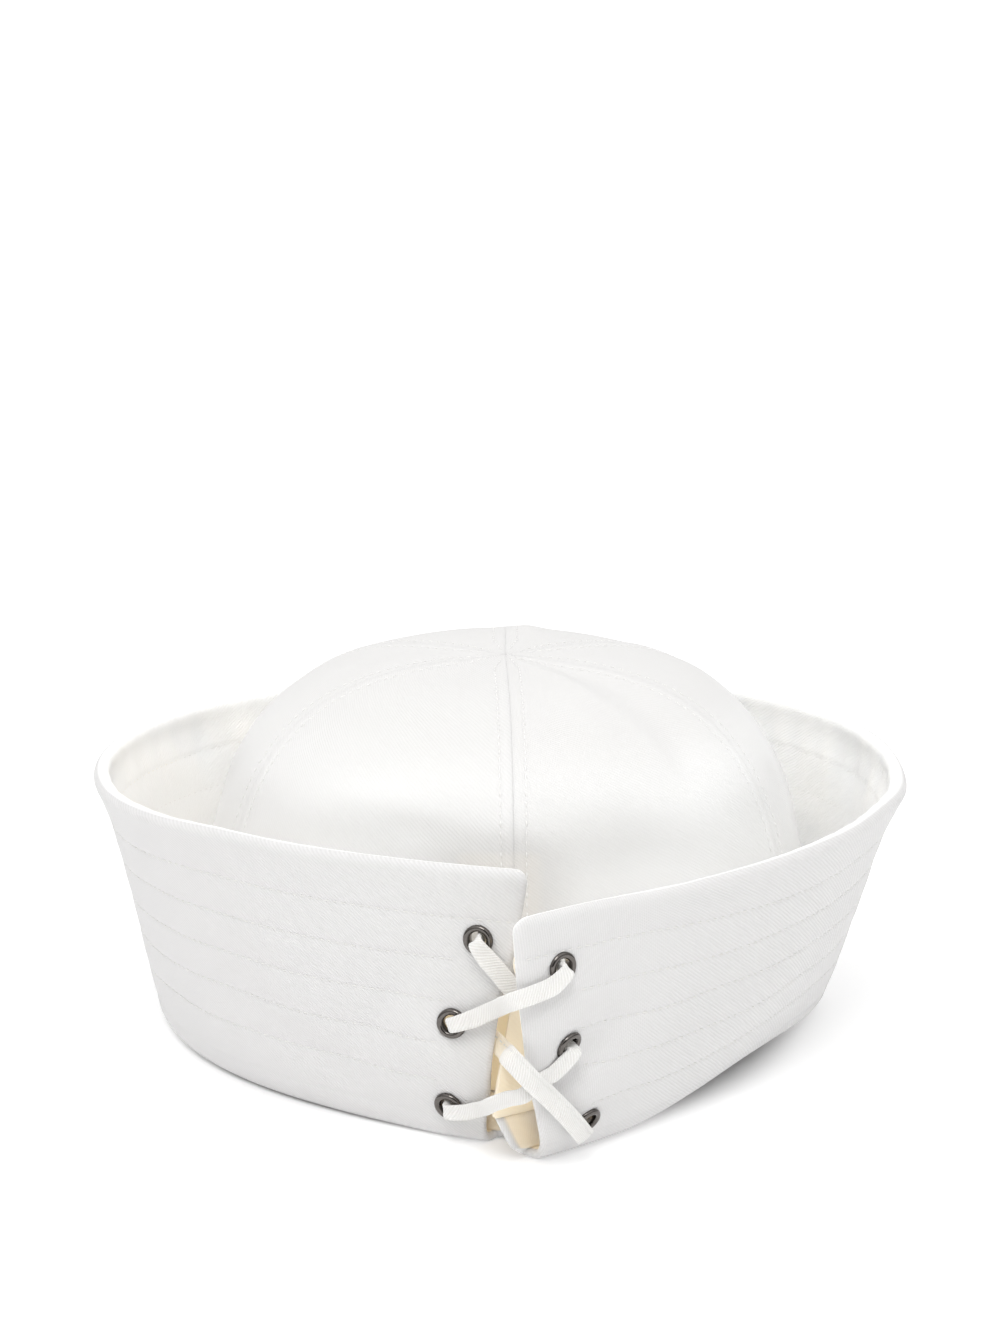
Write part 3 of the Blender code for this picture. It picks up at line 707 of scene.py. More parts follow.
def quilted(angle, up, side):
    """Relief of one face of the brim, outwards from its even skin; side is 1 outside, -1 inside.

    Each row of stitches is a narrow valley, the channels between swell as a sine, and small
    slanting puckers run along the rows. They die away towards the front edges and the fold.
    """
    along = run(angle)
    relief = np.zeros(np.broadcast(angle, up).shape)
    clear = smooth(from_edges(angle, up), PLACKET - 3 * MM, PLACKET + 1 * MM)
    for row, height in enumerate(ROW_UPS):
        reach = up - height
        pulled = 1.0 if row in (0, ROWS - 1) else clear
        waver = 2.2 * wobble(along, up, 24 * MM, row)
        puckers = np.sin(2 * np.pi * (along / PUCKER_PITCH + side * reach / (9 * MM)) + waver)
        near = bell(reach, 3.2 * MM)
        strength = 0.6 + 0.4 * wobble(along, up, 40 * MM, 20 + row)
        relief -= pulled * VALLEY * bell(reach, VALLEY_HALF)
        relief += pulled * PUCKER * near * puckers * strength
    channels = (up > ROW_UPS[-1]) & (up < ROW_UPS[0])
    swell = np.sin(np.pi * (up - ROW_UPS[-1]) / ROW_PITCH) ** 2
    relief += PUFF * np.where(channels, swell, 0) * clear
    relief += HEM_PUFF * bell(up - (BRIM_HEIGHT - HEM / 2), 5 * MM)
    relief += SLACK * wobble(along, up, 30 * MM, 40) * smooth(up, FOOT_ARC, 3 * FOOT_ARC)
    return relief * smooth(up, 3 * MM, FOOT_ARC) - pressed(angle, up)


def gathered(angle, up):
    """The gathers under the rim's facing, from -1 to 1: upright waves that die away below it."""
    lower = bell(up - (BRIM_HEIGHT - FACING + 2 * MM), 9 * MM)
    away = smooth(from_edges(angle, up), 10 * MM, 40 * MM)
    return wobble(run(angle), 0.2 * up, 12 * MM, 60) * lower * away


def inner_relief(angle, up):
    """Relief of the brim's inner face: the turned-in facing, whose lower edge is gathered."""
    facing = smooth(up, BRIM_HEIGHT - FACING - 0.9 * MM, BRIM_HEIGHT - FACING + 0.5 * MM)
    return 0.3 * quilted(angle, up, -1) + FACING_STEP * facing + GATHER * gathered(angle, up)


def graded(low, high, step, near):
    """Places from low to high about a step apart, and closer at both ends as near says."""
    inner = np.arange(low + near[-1] + step, high - near[-1] - step / 2, step)
    return np.concatenate([low + near, inner, high - near[::-1]])


def brim_rows():
    """Heights of the mesh's rows up the cloth, close together at each row of stitches."""
    near = np.array([-1.6, -0.9, -0.45, 0.0, 0.45, 0.9, 1.6]) * MM
    places = [row + near for row in ROW_UPS]
    places += [row + np.array([3.2, 4.7, 6.3, 7.9]) * MM for row in ROW_UPS[1:]]
    places.append(np.array([0, 0.8, 1.8, 3.0, 4.4, 5.8, 7.2]) * MM)
    below_rim = np.array([0, 0.12, 0.35, 0.7, 1.2, 2.0, 3.0, 4.4, 6.2, 8.2, 10.0, 11.4, 12.2, 12.8])
    return np.sort(np.concatenate([*places, BRIM_HEIGHT - below_rim * MM]))


def rounding(away, radius=EDGE_ROUND, wall=BRIM_WALL):
    """How far a full fold of the wall has set each face in, at a distance from its edge.

    It is a quarter of a circle: half the wall times 1 - sqrt(1 - (1 - t)^2), t being the
    distance over the radius.
    """
    t = np.clip(away / radius, 0.03, 1)
    return wall / 2 * (1 - np.sqrt(1 - (1 - t) ** 2))


def rolled(angle, up):
    """How much the rolled rim thickens the wall: a bell under the rim, higher at the sides."""
    sides = sum(bell(angle - at, half) for at, half, _ in FLARES)
    return (RIM_SWELL[0] + RIM_SWELL[1] * sides) * bell(BRIM_HEIGHT - up - 2 * MM, 3.2 * MM)


def edged(angle, up):
    """Angles sheared so that the first and last columns follow the front edges.

    The shear dies away as a square over the blend's degrees. At the rim the edges turn in on a
    quarter circle, the flaps' rounded corners.
    """
    first, last = angle.min(), angle.max()
    left_edge, right_edge = front_edges(up)
    near_left = np.clip(1 - (angle - first) / EDGE_BLEND, 0, 1) ** 2
    near_right = np.clip(1 - (last - angle) / EDGE_BLEND, 0, 1) ** 2
    sheared = angle + (left_edge - first) * near_left + (right_edge - last) * near_right
    drop = np.clip(CORNER - (BRIM_HEIGHT - up), 0, CORNER)
    corner = (CORNER - np.sqrt(CORNER**2 - drop**2)) / CORNER_DEGREE
    sheared = sheared + corner * np.clip(1 - (angle - first) / 4, 0, 1) ** 2
    return sheared - corner * np.clip(1 - (last - angle) / 4, 0, 1) ** 2


def leg_rows():
    """The mesh's rows from the leg's top round the fold to its lowest line.

    Each has its turn round the fold in radians, its height where the leg is straight, its share
    of the brim's height for the front edges, and its length on the cloth.
    """
    straight, turned = 6, 9
    turn = np.concatenate([np.full(straight, 90.0), np.linspace(90, 0, turned + 1)[:-1]])
    rise = np.linspace(LEG_HEIGHT, LEG_RADIUS, straight + 1)[:-1]
    rise = np.concatenate([rise, np.zeros(turned)])
    share = np.linspace(EDGE_AT[0], 0, straight + turned + 1)[:-1]
    length = np.concatenate([np.full(straight, -LEG_HEIGHT), np.linspace(-5, 0, turned) * MM])
    return np.radians(turn), rise, share, length


def brim_painted_light(angle, up, from_end):
    """The map "tone" for the brim's outer and inner faces.

    Upright ribs fade in on the right flap. The painted shade is 0 outside. Inside it is -1, painted
    lighter, and lower, a painted glow, where light would shine through: most at the left side, in
    clouds, and as painted light and shade along the gathers. Near the front edges, a bell over the
    cloth's distance from them paints it warm and glowing, low down alone.
    """
    ribs = smooth(angle, 335, 350) * 0.85
    painted_warm = bell(from_end, 15 * MM) * smooth(-up, -50 * MM, -25 * MM)
    painted_warm = painted_warm * (0.45 + 0.55 * smooth(from_end, 0.4 * MM, 2 * MM))
    lit = 0.14 + 0.24 * bell(angle - 85, 38) - 0.06 * smooth(angle, 200, 250)
    lit = lit + 0.1 * wobble(run(angle), up, 25 * MM, 70)
    lit = lit * smooth(up, 5 * MM, 30 * MM) + 0.22 * gathered(angle, up)
    shade = (1.75 * painted_warm - 1) - lit * smooth(from_end, 30 * MM, 70 * MM)
    faces = [np.stack([face, ribs], -1).reshape(-1, 2) for face in (0 * shade, shade)]
    return np.concatenate(faces)


def make_brim(cloth):
    """The folded band: one grid for each face, from the leg under the fold and up to the rim.

    The leg is upright and the fold a quarter circle. The rest is the brim's skin with its
    relief. At the rim and the front edges both faces run together on a half circle of the wall.
    """
    near_edge = np.array([0.0, 0.06, 0.16, 0.32, 0.55, 0.9])
    step = math.degrees(BRIM_COLUMN / BRIM_RADIUS)
    columns = graded(LEFT_EDGE[FOLD_AT], RIGHT_EDGE[FOLD_AT], step, near_edge)
    from_end = np.minimum(columns - columns[0], columns[-1] - columns) * FRONT_DEGREE
    set_in = rounding(from_end)
    turns, straights, shares, leg_lengths = leg_rows()

    ups = brim_rows()
    angle = np.stack([edged(columns, up) for up in ups])
    up = np.broadcast_to(ups[:, None], angle.shape)
    swell = rolled(angle, up) * smooth(from_end, 0, 3 * MM)
    set_back = np.maximum(set_in, rounding(BRIM_HEIGHT - up, RIM_ROUND, BRIM_WALL + swell))
    sagging = DROOP * smooth(up, BRIM_HEIGHT - HEM, BRIM_HEIGHT) * smooth(angle, 312, 346)
    outer = quilted(angle, up, 1) + 0.2 * swell - set_back
    inner = set_back - BRIM_WALL - 0.8 * swell - inner_relief(angle, up)

    faces = []
    for off, inset in ((outer, set_in), (inner, BRIM_WALL - set_in)):
        radius = LEG_RADIUS - inset
        leg = []
        for turn, straight, share in zip(turns, straights, shares):
            at = edged(columns, share * BRIM_HEIGHT)
            ends = smooth(at, 346, 356) + smooth(-at, -7, -1)
            pinch = PINCH * ends * (1 - straight / LEG_HEIGHT) * math.sin(turn)
            out = pinch - FOLD_FLAT - radius * math.sin(turn) - fold_reach(at)
            rise = straight + 0 * out if straight else LEG_RADIUS - radius * math.cos(turn)
            leg.append(placed(at, out, rise))
        faces.append(np.concatenate([np.stack(leg), skin(angle, up - sagging, off)]))
    points, quads = two_skins(*faces)

    lengths = np.concatenate([leg_lengths, ups])[:, None]
    angles = np.concatenate([np.stack([edged(columns, s * BRIM_HEIGHT) for s in shares]), angle])
    # painted light and shade: plain outside, painted lighter and glowing inside, painted warm and
    # glowing low by the front edges
    tone = brim_painted_light(angles, np.broadcast_to(lengths, angles.shape), from_end)
    maps = {"cloth": twice(run(angles), lengths), "tone": tone}
    brim = add_piece("brim_cloth", points, quads, maps, cloth, ["brim"])
    punch(brim)
    return brim


def set_square(angle, up, off):
    """A place on the brim and the turn that brings local +Z along its normal."""
    normal = Vector(skin_normal(angle, up))
    return Vector(skin(angle, up, off)), normal.to_track_quat("Z", "Y")


def punch(brim):
    """Cuts the eyelets' holes through the brim's fine mesh, with a round punch for each."""
    rings, sides = 2, 32
    turn = np.arange(sides) / sides * 2 * np.pi
    ring = np.stack([np.cos(turn) * HOLE, np.sin(turn) * HOLE], -1)
    points, faces = [], []
    for k, (_, angle, up) in enumerate(EYELETS):
        place, turned = set_square(angle, up, -BRIM_WALL / 2)
        first = k * rings * sides
        for level in (-5 * MM, 5 * MM):
            points += [tuple(place + turned @ Vector((x, y, level))) for x, y in ring]
        around = np.arange(sides)
        after = (around + 1) % sides
        faces += (np.stack([around, after, after + sides, around + sides], -1) + first).tolist()
        faces += [(around[::-1] + first).tolist(), (around + sides + first).tolist()]
    mesh = bpy.data.meshes.new("punch")
    mesh.from_pydata(points, [], faces)
    cutter = add_object("punch", mesh)
    cut = brim.modifiers.new("holes", "BOOLEAN")
    cut.operation, cut.solver, cut.object = "DIFFERENCE", "EXACT", cutter
    seen = brim.evaluated_get(bpy.context.evaluated_depsgraph_get())
    pierced = bpy.data.meshes.new_from_object(seen)
    brim.modifiers.clear()
    brim.data = pierced
    pierced.name = "brim_cloth"
    bpy.data.objects.remove(cutter)


def make_brim_stitches(thread, painted_lighter_thread):
    """The rows of lockstitch: five outside, and the same five inside."""
    outside, inside = [], []
    for row, up in enumerate(ROW_UPS[:-1]):
        left, right = front_edges(np.array(up))
        keep = TOP_ROW_END if row == 0 else PLACKET
        left = left + math.degrees(keep / FRONT_RADII[0])
        right = right - math.degrees(keep / FRONT_RADII[1])
        angle = np.linspace(left, right, 1400)
        ups = np.full_like(angle, up)
        normal = skin_normal(angle, ups)
        line = skin(angle, ups, quilted(angle, ups, 1))
        outside.append(stitches(line, normal, STITCH_PITCH, STITCH, THREAD))
        line = skin(angle, ups, -BRIM_WALL - inner_relief(angle, ups))
        inside.append(stitches(line, -normal, STITCH_PITCH, STITCH, 0.8 * THREAD, proud=-0.03 * MM))
    add_stitches("brim_stitches_outside", outside, thread)
    # the inside rows take the thread painted lighter, painted light
    add_stitches("brim_stitches_inside", inside, painted_lighter_thread)


def add_stitches(name, rows, thread):
    """One joined mesh of the stitches of several rows."""
    together = [np.concatenate([np.broadcast_to(row[k], (len(row[0]),) + np.shape(row[k])[1:])
                                for row in rows]) for k in range(7)]
    points, faces, flat = tubes(*together, rows[0][7])
    return add_piece(name, points, faces, {"cloth": flat}, thread)


# ---- The crown ----

def crown_base(angle):
    """Where the crown's outer skin meets the leg, as plan points and heights."""
    reach = fold_reach(angle) + FOLD_FLAT + LEG_RADIUS - BRIM_WALL
    point = placed(angle, -reach, np.full_like(angle, LEG_HEIGHT + SEAM_GAP))
    return point[..., :2], point[..., 2]


def dented(angle, height):
    """Depth of the dents at a place on the dome: a bell curve in angle and height each."""
    depth = np.zeros(np.broadcast(angle, height).shape)
    for turn, level, half_angle, half_height, deep in DENTS:
        around = (angle - turn + 180) % 360 - 180
        bell = np.exp(-((around / half_angle) ** 2) - ((height / MM - level) / half_height) ** 2)
        depth += deep * MM * bell
    return depth


def folded(points):
    """Depth of the folds at points of the dome: a bell across each and round its ends.

    Along it the depth follows 0.35 + 2.6 s (1 - s), s being the share of its length.
    """
    depth = np.zeros(points.shape[:-1])
    for start, end, half_width, deep in FOLDS:
        start, way = np.array(start) * MM, (np.array(end) - start) * MM
        share = np.clip(((points - start) @ way) / (way @ way), 0, 1)
        away = np.linalg.norm(points - start - share[..., None] * way, axis=-1) / MM
        fading = 0.35 + 2.6 * share * (1 - share)
        depth += deep * MM * bell(away, half_width) * fading
    return depth


def share_at(t):
    """The even share of the way up a superellipse at its angle t, in radians."""
    ratio = (t / (np.pi / 2 - t)) ** (2 / CROWN_POWER)
    return ratio / (1 + ratio)


def dome(angle, share):
    """The crown's outer skin: a superellipse that takes the brim's plan near its base.

    radius = cos(t)^(2/n), height = sin(t)^(2/n). t runs from 0 level with the fold to 90
    degrees at the top, spaced so that even steps of the share are about even in length.
    """
    base, floor = crown_base(angle)
    up, down = share ** (CROWN_POWER / 2), (1 - share) ** (CROWN_POWER / 2)
    t = np.pi / 2 * up / (up + down)
    radius = np.cos(t) ** (2 / CROWN_POWER)
    height = CROWN_HEIGHT * np.sin(t) ** (2 / CROWN_POWER)
    turn = np.radians(angle)
    round_x = CROWN_CENTRE[0] - CROWN_HALF_WIDTH * radius * np.sin(turn)
    round_y = CROWN_CENTRE[1] - CROWN_HALF_DEPTH * radius * np.cos(turn)
    near = np.clip(1 - (height - floor) / CROWN_BLEND, 0, 1)
    hold = near**2 * (3 - 2 * near)
    x = base[..., 0] * hold + round_x * (1 - hold)
    y = base[..., 1] * hold + round_y * (1 - hold)
    return np.stack([x, y, height], -1)


def dome_normal(angle, share):
    """The dome's outward normal, from its two tangents over half a degree and a small share."""
    around = dome(angle + 0.5, share) - dome(angle - 0.5, share)
    climbing = dome(angle, share + 0.002) - dome(angle, share - 0.002)
    return unit(np.cross(climbing, around))


def seam_relief(away, narrow):
    """Relief beside a seam, which fades where the panel is narrow.

    The edge curls down into the seam, the turned cloth lifts the panel as far as the
    topstitching, and the stitches pull a valley along its border, a bell across.
    """
    curl = -SEAM_CURL * np.clip(1 - away / SEAM_CURL_WIDTH, 0, 1) ** 2
    lifted = FELL_RISE * (1 - smooth(away, FELL, FELL + 1.2 * MM))
    valley = -FELL_VALLEY * bell(away - FELL, 0.55 * MM)
    return curl * np.minimum(1, narrow * 1.5) + (lifted + valley) * narrow


def crown_painted_light(points, painted_warmth):
    """The crown's painted light and shade: painted lighter below its top and most at the right, a
    painted warm shade above the lacing and a painted golden glow behind it. Each fades in over a
    range of heights and distances."""
    x, y, z = np.moveaxis(points, -1, 0)
    front = smooth(-y, 20 * MM, 50 * MM)
    shade = -0.4 * smooth(-z, -103 * MM, -84 * MM) * (1 + 0.5 * smooth(x, 30 * MM, 60 * MM))
    painted_warm = front * smooth(-z, -84 * MM, -74 * MM) * smooth(-np.abs(x), -26 * MM, -8 * MM)
    deep = front * smooth(-z, -46 * MM, -34 * MM) * smooth(-np.abs(x), -30 * MM, -12 * MM)
    shade += (0.08 - shade) * painted_warm
    return shade + (painted_warmth - shade) * deep


def make_panel(cloth, name, start, end, start_lap, end_lap):
    """One gore of the crown, its edges turned down into its seams. Returns its stitch lines.

    Its columns stand closer beside its seams, and all of them draw together where it narrows
    towards the top. Each row's width is its angle times its distance from the dome's axis.
    """
    top = share_at(np.arccos((TIP / CROWN_HALF_WIDTH) ** (CROWN_POWER / 2)))
    even = np.linspace(0, 0.985, PANEL_ROWS - len(TIP_ROWS))
    rise = np.concatenate([even, TIP_ROWS])[:, None]

    def shares(angle):
        _, floor = crown_base(angle)
        low = share_at(np.arcsin((floor / CROWN_HEIGHT) ** (CROWN_POWER / 2)))
        return low + (top - low) * rise

    middle_angle = np.full_like(rise, (start + end) / 2)
    middle = dome(middle_angle, shares(middle_angle))
    reach = np.hypot(middle[..., 0] - CROWN_CENTRE[0], middle[..., 1] - CROWN_CENTRE[1])
    lapping = np.clip(1 - (middle[..., 2] - LEG_HEIGHT) / LAPPED, 0, 1)
    low, high = start + start_lap * lapping, end + end_lap * lapping
    width = np.radians(high - low) * reach
    narrow = np.minimum(1, width / (18 * MM))
    near = SEAM_COLUMNS[None, :] * narrow
    between = np.linspace(0, 1, PANEL_COLUMNS)[None, 1:-1]
    inner = near[:, -1:] + (width - 2 * near[:, -1:]) * between
    place = np.concatenate([near, inner, width - near[:, ::-1]], 1)
    angle = low + (high - low) * place / width
    share = shares(angle)
    points, normals = dome(angle, share), dome_normal(angle, share)
    away = np.minimum(place, width - place) / narrow
    slack = PANEL_SLACK * wobble(points[..., 0], points[..., 1] + points[..., 2], 38 * MM, 80)
    relief = slack * smooth(away, 0, 12 * MM) - dented(angle, points[..., 2]) - folded(points)
    if start_lap:
        relief = relief - LAP_DEPTH * smooth(lapping, 0, 0.35) * smooth(-angle, -14, -5)
    seamed = seam_relief(away, narrow)
    outer = points + normals * (relief + seamed)[..., None]
    inside = points + normals * (relief + np.minimum(seamed, 0) - CROWN_WALL)[..., None]
    inside[0, :, 2] = outer[0, :, 2] = points[0, :, 2]
    mesh_points, quads = two_skins(outer, inside)
    steps = np.linalg.norm(np.diff(middle, axis=0), axis=-1)
    climbed = np.concatenate([[[0]], np.cumsum(steps, 0)])
    flat = twice(place - width / 2, climbed)
    # painted light and shade; the painted golden glow behind the lacing is whole on the front left
    # panel and 0.7 on the others
    tone = twice(crown_painted_light(points, 1.0 if start_lap else 0.7), 0.2 + 0 * place)
    panel = add_piece(name + "_cloth", mesh_points, quads, {"cloth": flat, "tone": tone}, cloth,
                      [name])
    sewn_rows = (narrow[:, 0] > 0.3) & (rise[:, 0] > 0.02)
    if start_lap or end_lap:
        sewn_rows &= middle[:, 0, 2] > 50 * MM
    return [(outer[sewn_rows, column], normals[sewn_rows, column])
            for column in (TOPSTITCHED, -1 - TOPSTITCHED)]


def make_crown(cloth, thread):
    """The six panels, and the topstitching on both sides of each seam as one piece."""
    rows = []
    for panel in PANELS:
        for line, normals in make_panel(cloth, *panel):
            rows.append(stitches(line, normals, CROWN_STITCH_PITCH, CROWN_STITCH, CROWN_THREAD))
    add_stitches("crown_stitches", rows, thread)


# ---- Eyelets ----

def make_eyelet(metal, name, angle, up):
    """A pressed ring: a rolled flange on a tube through the wall, turned round its axis.

    The flange's face is half an ellipse from the bore to its outer edge. Behind the wall the
    tube is rolled back to a smaller one. The profile's points are radii and heights.
    """
    front, back = 0.12 * MM - EYELET_PRESS, -BRIM_WALL + 0.1 * MM
    turn = np.linspace(0, np.pi, 15)
    middle, half = (EYELET_BORE + EYELET_FLANGE) / 2, (EYELET_FLANGE - EYELET_BORE) / 2
    flange = [middle - half * np.cos(turn), front + FLANGE_RISE * np.sin(turn) ** 0.8]
    under = [(EYELET_FLANGE - 0.25 * MM, front - 0.15 * MM),
             (EYELET_TUBE + 0.1 * MM, front - 0.15 * MM),
             (EYELET_TUBE, front - 0.4 * MM), (EYELET_TUBE, back + 0.3 * MM)]
    middle = (EYELET_TUBE + EYELET_FLANGE) / 2 - 0.2 * MM
    half = EYELET_FLANGE - 0.2 * MM - middle
    clinch = [middle + half * np.cos(turn), back - CLINCH_RISE * np.sin(turn)]
    bore = [(EYELET_TUBE - 0.35 * MM, back), (EYELET_BORE, back * 0.6),
            (EYELET_BORE, front - 0.2 * MM)]
    profile = np.concatenate([np.stack(flange, -1), under, np.stack(clinch, -1), bore])

    around = np.arange(EYELET_SIDES) / EYELET_SIDES * 2 * np.pi
    radius, height = profile[:, :1], profile[:, 1:] + 0 * around
    ring = np.stack([radius * np.cos(around), radius * np.sin(around), height], -1)
    place, turned = set_square(angle, up, 0.0)
    points = ring.reshape(-1, 3) @ np.array(turned.to_matrix()).T + np.array(place)
    index = np.arange(ring.shape[0] * EYELET_SIDES).reshape(-1, EYELET_SIDES)
    beside, after = np.roll(index, -1, 1), np.roll(index, -1, 0)
    quads = np.stack([index, beside, np.roll(after, -1, 1), after], -1).reshape(-1, 4)
    add_piece(name + "_plate", points, outward_faces(points, quads), {}, metal,
              [name])


# ---- The lace ----

def lace_route():
    """Points along the tape's middle line: where it lies, the way across it, its width, and
    whether it is behind the cloth, 1 or 0.

    Free in front, it mostly faces one way. Elsewhere it lies flat to the cloth. At an eyelet it
    goes straight through the middle.
    """
    spots = {name: (angle, up) for name, angle, up in EYELETS}
    route = []

    def add(point, side, width, out=0):
        turned = route and np.dot(side, route[-1][1]) < 0
        route.append((point, -side if turned else side, width, float(out < -1)))

    def beside(name, out):
        off = THREADED_OUT if out > 0 else BEHIND
        return skin(*spots[name]) + skin_normal(*spots[name]) * off * MM

    for start, way, end, spread in LACE_RUNS:
        angle, up, out = np.array(way, float).T
        centres, normals = skin(angle, up * MM, out * MM), skin_normal(angle, up * MM)
        free = out > -3
        normals[free] = unit(0.25 * normals[free] + 0.75 * np.array(LACE_FACE))
        first = skin(*spots[start]) if start else centres[0]
        last = skin(*spots[end]) if end else centres[-1]
        ways = np.gradient(np.stack([first, *centres, last]), axis=0)[1:-1]
        sides = unit(np.cross(ways, normals))
        if start:
            add(beside(start, out[0]), sides[0], LACE_THREADED, out[0])
        for centre, side, depth in zip(centres, sides, out):
            add(centre, side, LACE_WIDTH * spread, depth)
        if end:
            add(beside(end, out[-1]), sides[-1], LACE_THREADED, out[-1])
            add(skin(*spots[end], -BRIM_WALL / 2), sides[-1], LACE_THREADED)
    return [np.array(column) for column in zip(*route)]


def make_lace(tape, thread):
    """The tape, a folded and stitched strip: a flat section carried along the route.

    Across it, x from -1 to 1, the half thickness follows (1 - 0.98 |x|^3)^(1/2), and both faces
    bow up by 1 - x^2. A bell-shaped groove runs where the fold is stitched. It grows thicker
    and bows more where an eyelet narrows it, and closes to an edge at its ends.
    """
    points, across, widths, behind = lace_route()
    length = lengths_along(points)
    at = np.linspace(0, length[-1], round(length[-1] / LACE_STEP))
    centre = np.stack([curve(at, length, points[:, k]) for k in range(3)], -1)
    side = read(at, length, across)
    width = np.interp(at, length, widths)
    way = unit(np.gradient(centre, axis=0))
    side = unit(side - way * (side * way).sum(-1, keepdims=True))
    face = np.cross(side, way)
    gather = 1 - width / LACE_WIDTH
    ends = np.minimum(at, length[-1] - at)
    closing = np.sqrt(1 - (1 - np.clip(ends / (0.5 * MM), 0.05, 1)) ** 2)
    x = np.sin(np.linspace(-np.pi / 2, np.pi / 2, 23))[:, None]
    half = LACE_THICKNESS / 2 * (1 + 0.5 * gather) * np.sqrt(1 - np.abs(x) ** 3 * 0.98) * closing
    groove = 0.2 * MM * bell(x - LACE_FOLD, 0.12)
    groove = groove + 0.1 * MM * wobble(at, 2.2 * x * MM, 7 * MM, 90)
    bow = (0.28 * MM + 0.4 * MM * gather) * (1 - x**2)
    spread = centre + side * (width / 2)[:, None] * x[..., None]
    top = spread + face * (half - groove + bow)[..., None]
    under = spread - face * (half - bow)[..., None]
    mesh_points, quads = two_skins(top, under)
    flat = twice(at + 0 * x, x * width / 2)
    # painted light: a painted warm colour and glow where the tape passes behind the cloth
    tone = twice(0.6 * np.interp(at, length, behind) + 0 * x, 0 * x)
    add_piece("lace_tape", mesh_points, quads, {"cloth": flat, "tone": tone}, tape,
              ["lace"])
    column = int(np.argmin(np.abs(x[:, 0] - LACE_FOLD)))
    row = stitches(top[column], face, *LACE_STITCHES, sink=0.12 * MM, proud=0.02 * MM)
    add_stitches("lace_stitches", [row], thread)


# ---- Floor, light and camera ----

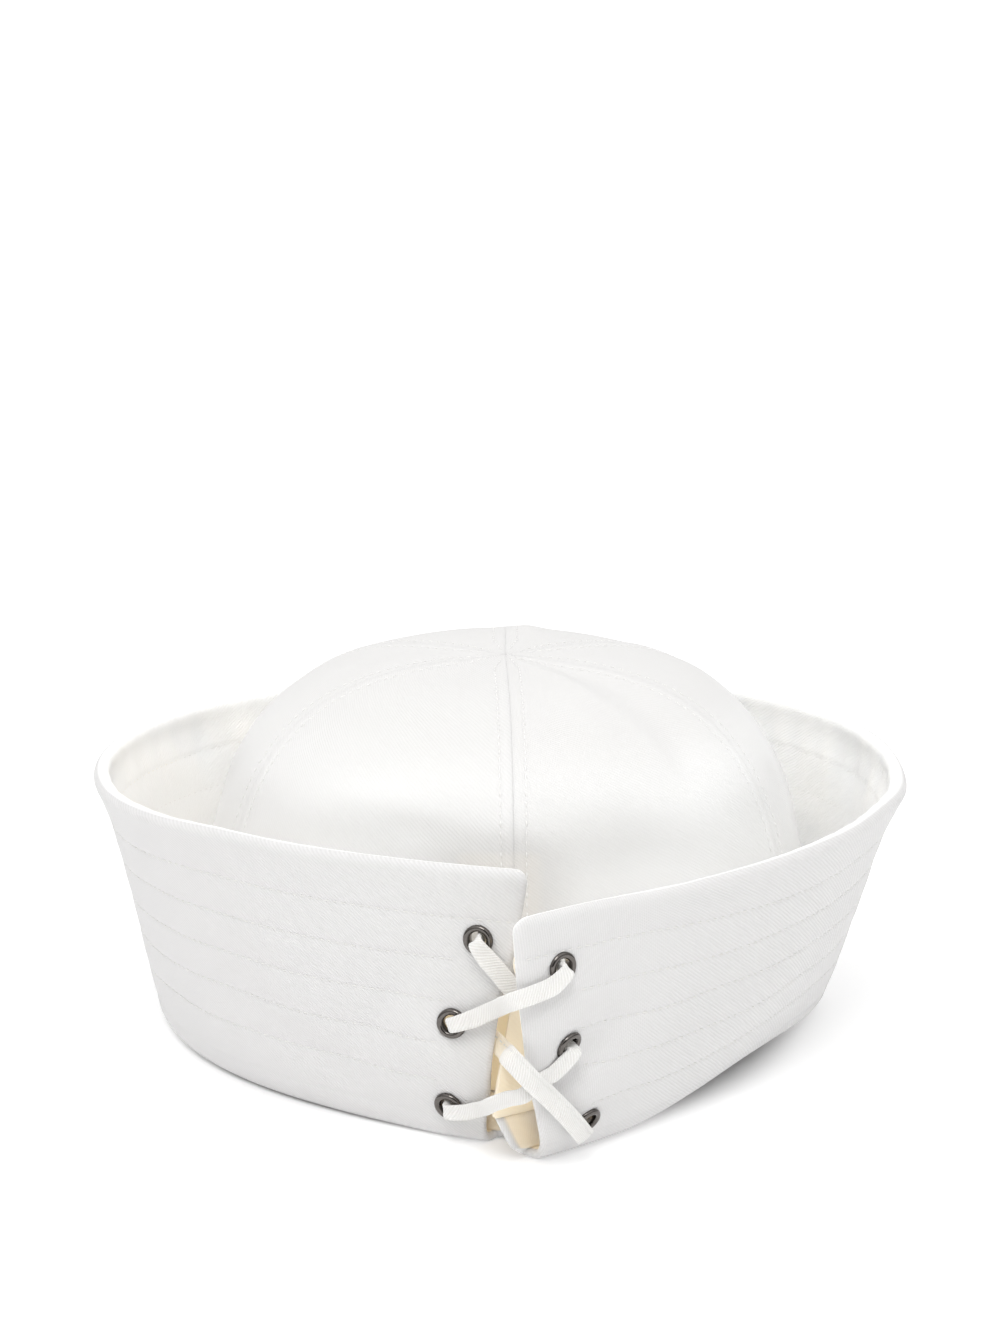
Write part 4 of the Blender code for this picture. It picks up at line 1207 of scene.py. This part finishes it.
def make_stage():
    """A matt white table, a broad light above and in front, and a bright room that is darker
    towards the front, which the plated eyelets mirror."""
    mesh = bpy.data.meshes.new("table")
    corners = [(TABLE_HALF * x, TABLE_HALF * y, 0) for x, y in ((-1, -1), (1, -1), (1, 1), (-1, 1))]
    mesh.from_pydata(corners, [], [(0, 1, 2, 3)])
    table = add_object("table", mesh)
    material, shader = principled("matt_white_table", Roughness=0.95)
    shader.inputs["Base Color"].default_value = linear("#F0F0F0")
    shader.inputs["Specular IOR Level"].default_value = 0.0
    shader.inputs["Emission Color"].default_value = (1, 1, 1, 1)
    place = add_node(material, "ShaderNodeTexCoord").outputs["Object"]
    away = add_node(material, "ShaderNodeVectorMath", {"operation": "DISTANCE", 1: UNDER_CAP},
                    {0: place}).outputs["Value"]
    near, far = PAINTED_SHADOW_RADII
    # painted shadow: the table's glow is lowered round the cap's foot
    glow = add_node(material, "ShaderNodeMapRange",
                    {"interpolation_type": "SMOOTHSTEP", 1: near, 2: far, 3: TABLE_GLOW_IN_PAINTED_SHADOW,
                     4: TABLE_GLOW}, {0: away})
    material.node_tree.links.new(glow.outputs[0], shader.inputs["Emission Strength"])
    mesh.materials.append(material)

    for name, place, size, power in LIGHTS:
        light = bpy.data.lights.new(name, "AREA")
        light.shape, light.size, light.energy = "DISK", size, power
        lamp = add_object(name, light)
        lamp.location = place
        lamp.rotation_euler = (-Vector(place)).to_track_quat("-Z", "Y").to_euler()

    world = bpy.data.worlds.new("room")
    bpy.context.scene.world = world
    world.use_nodes = True
    back = world.node_tree.nodes["Background"]
    back.inputs["Color"].default_value = (1, 1, 1, 1)
    way = add_node(world, "ShaderNodeTexCoord").outputs["Generated"]
    height = add_node(world, "ShaderNodeVectorMath", {"operation": "DOT_PRODUCT", 1: ROOM_UP},
                      {0: way}).outputs["Value"]
    low, high = ROOM_RISE
    room = add_node(world, "ShaderNodeMapRange",
                    {"interpolation_type": "SMOOTHSTEP", 1: low, 2: high, 3: ROOM_LOW,
                     4: ROOM_HIGH}, {0: height}).outputs[0]
    ahead = add_node(world, "ShaderNodeVectorMath", {"operation": "DOT_PRODUCT", 1: ROOM_FRONT},
                     {0: way}).outputs["Value"]
    begun, whole = ROOM_FRONT_RIM
    shade = add_node(world, "ShaderNodeMapRange", {1: begun, 2: whole, 3: 1.0, 4: ROOM_FRONT_SHADE},
                     {0: ahead}).outputs[0]
    room = add_node(world, "ShaderNodeMath", {"operation": "MULTIPLY"},
                    {0: room, 1: shade}).outputs[0]
    seen = add_node(world, "ShaderNodeLightPath").outputs["Is Camera Ray"]
    strength = add_node(world, "ShaderNodeMix", {"data_type": "FLOAT", 3: ROOM_SEEN},
                        {0: seen, 2: room})
    world.node_tree.links.new(strength.outputs[0], back.inputs["Strength"])


def make_camera():
    """A camera in front of the lacing, turned down and no other way."""
    data = bpy.data.cameras.new("camera")
    data.sensor_fit, data.sensor_height, data.lens = "VERTICAL", CAMERA_SENSOR, CAMERA_LENS
    camera = add_object("camera", data)
    camera.location = CAMERA_PLACE
    camera.rotation_euler = Euler((math.radians(90 - CAMERA_DROP), 0, 0))
    bpy.context.scene.camera = camera
    bpy.context.scene.view_settings.view_transform = "Standard"


# ---- Putting it together ----

# The brim's bleached cotton drill is quilted: its twill shows as fine slanting lines of light grey,
# painted shade in its grooves, and it is matt. Its colour is painted a little greyer than the
# crown's copy, painted shade of the brim's outer face.
drill = woven("bleached_cotton_drill", "#DFDEDE", "#D6D5D4", wale=0.80 * MM, wale_degrees=38,
              relief=0.03 * MM, sheen=0.1)
# The same cloth stretched over the crown is smoother, and its colour is painted a little lighter,
# painted light on the crown.
stretched_painted_lighter_drill = woven("stretched_cotton_drill_painted_lighter", "#E1E0DF", "#DBDAD8", wale=0.80 * MM, wale_degrees=38,
                  relief=0.02 * MM, sheen=0.1)
# The woven cotton tape is whiter than the brim, and steeper and bolder in its twill.
tape = woven("bleached_cotton_tape", "#EDECEA", "#DEDCD8", wale=0.7 * MM, wale_degrees=55,
             relief=0.05 * MM, sheen=0.12)
# Two copies of one thread: painted darker on the brim's outside and the lace, painted shade, and
# painted lighter on the brim's inside and the crown, painted light.
thread = sewn("sewing_thread", "#E5E4E1")
painted_lighter_thread = sewn("sewing_thread_painted_lighter", "#F6F5F3")
metal = gunmetal()
make_brim(drill)
make_brim_stitches(thread, painted_lighter_thread)
make_crown(stretched_painted_lighter_drill, painted_lighter_thread)
for eyelet in EYELETS:
    make_eyelet(metal, *eyelet)
make_lace(tape, thread)
make_stage()
make_camera()
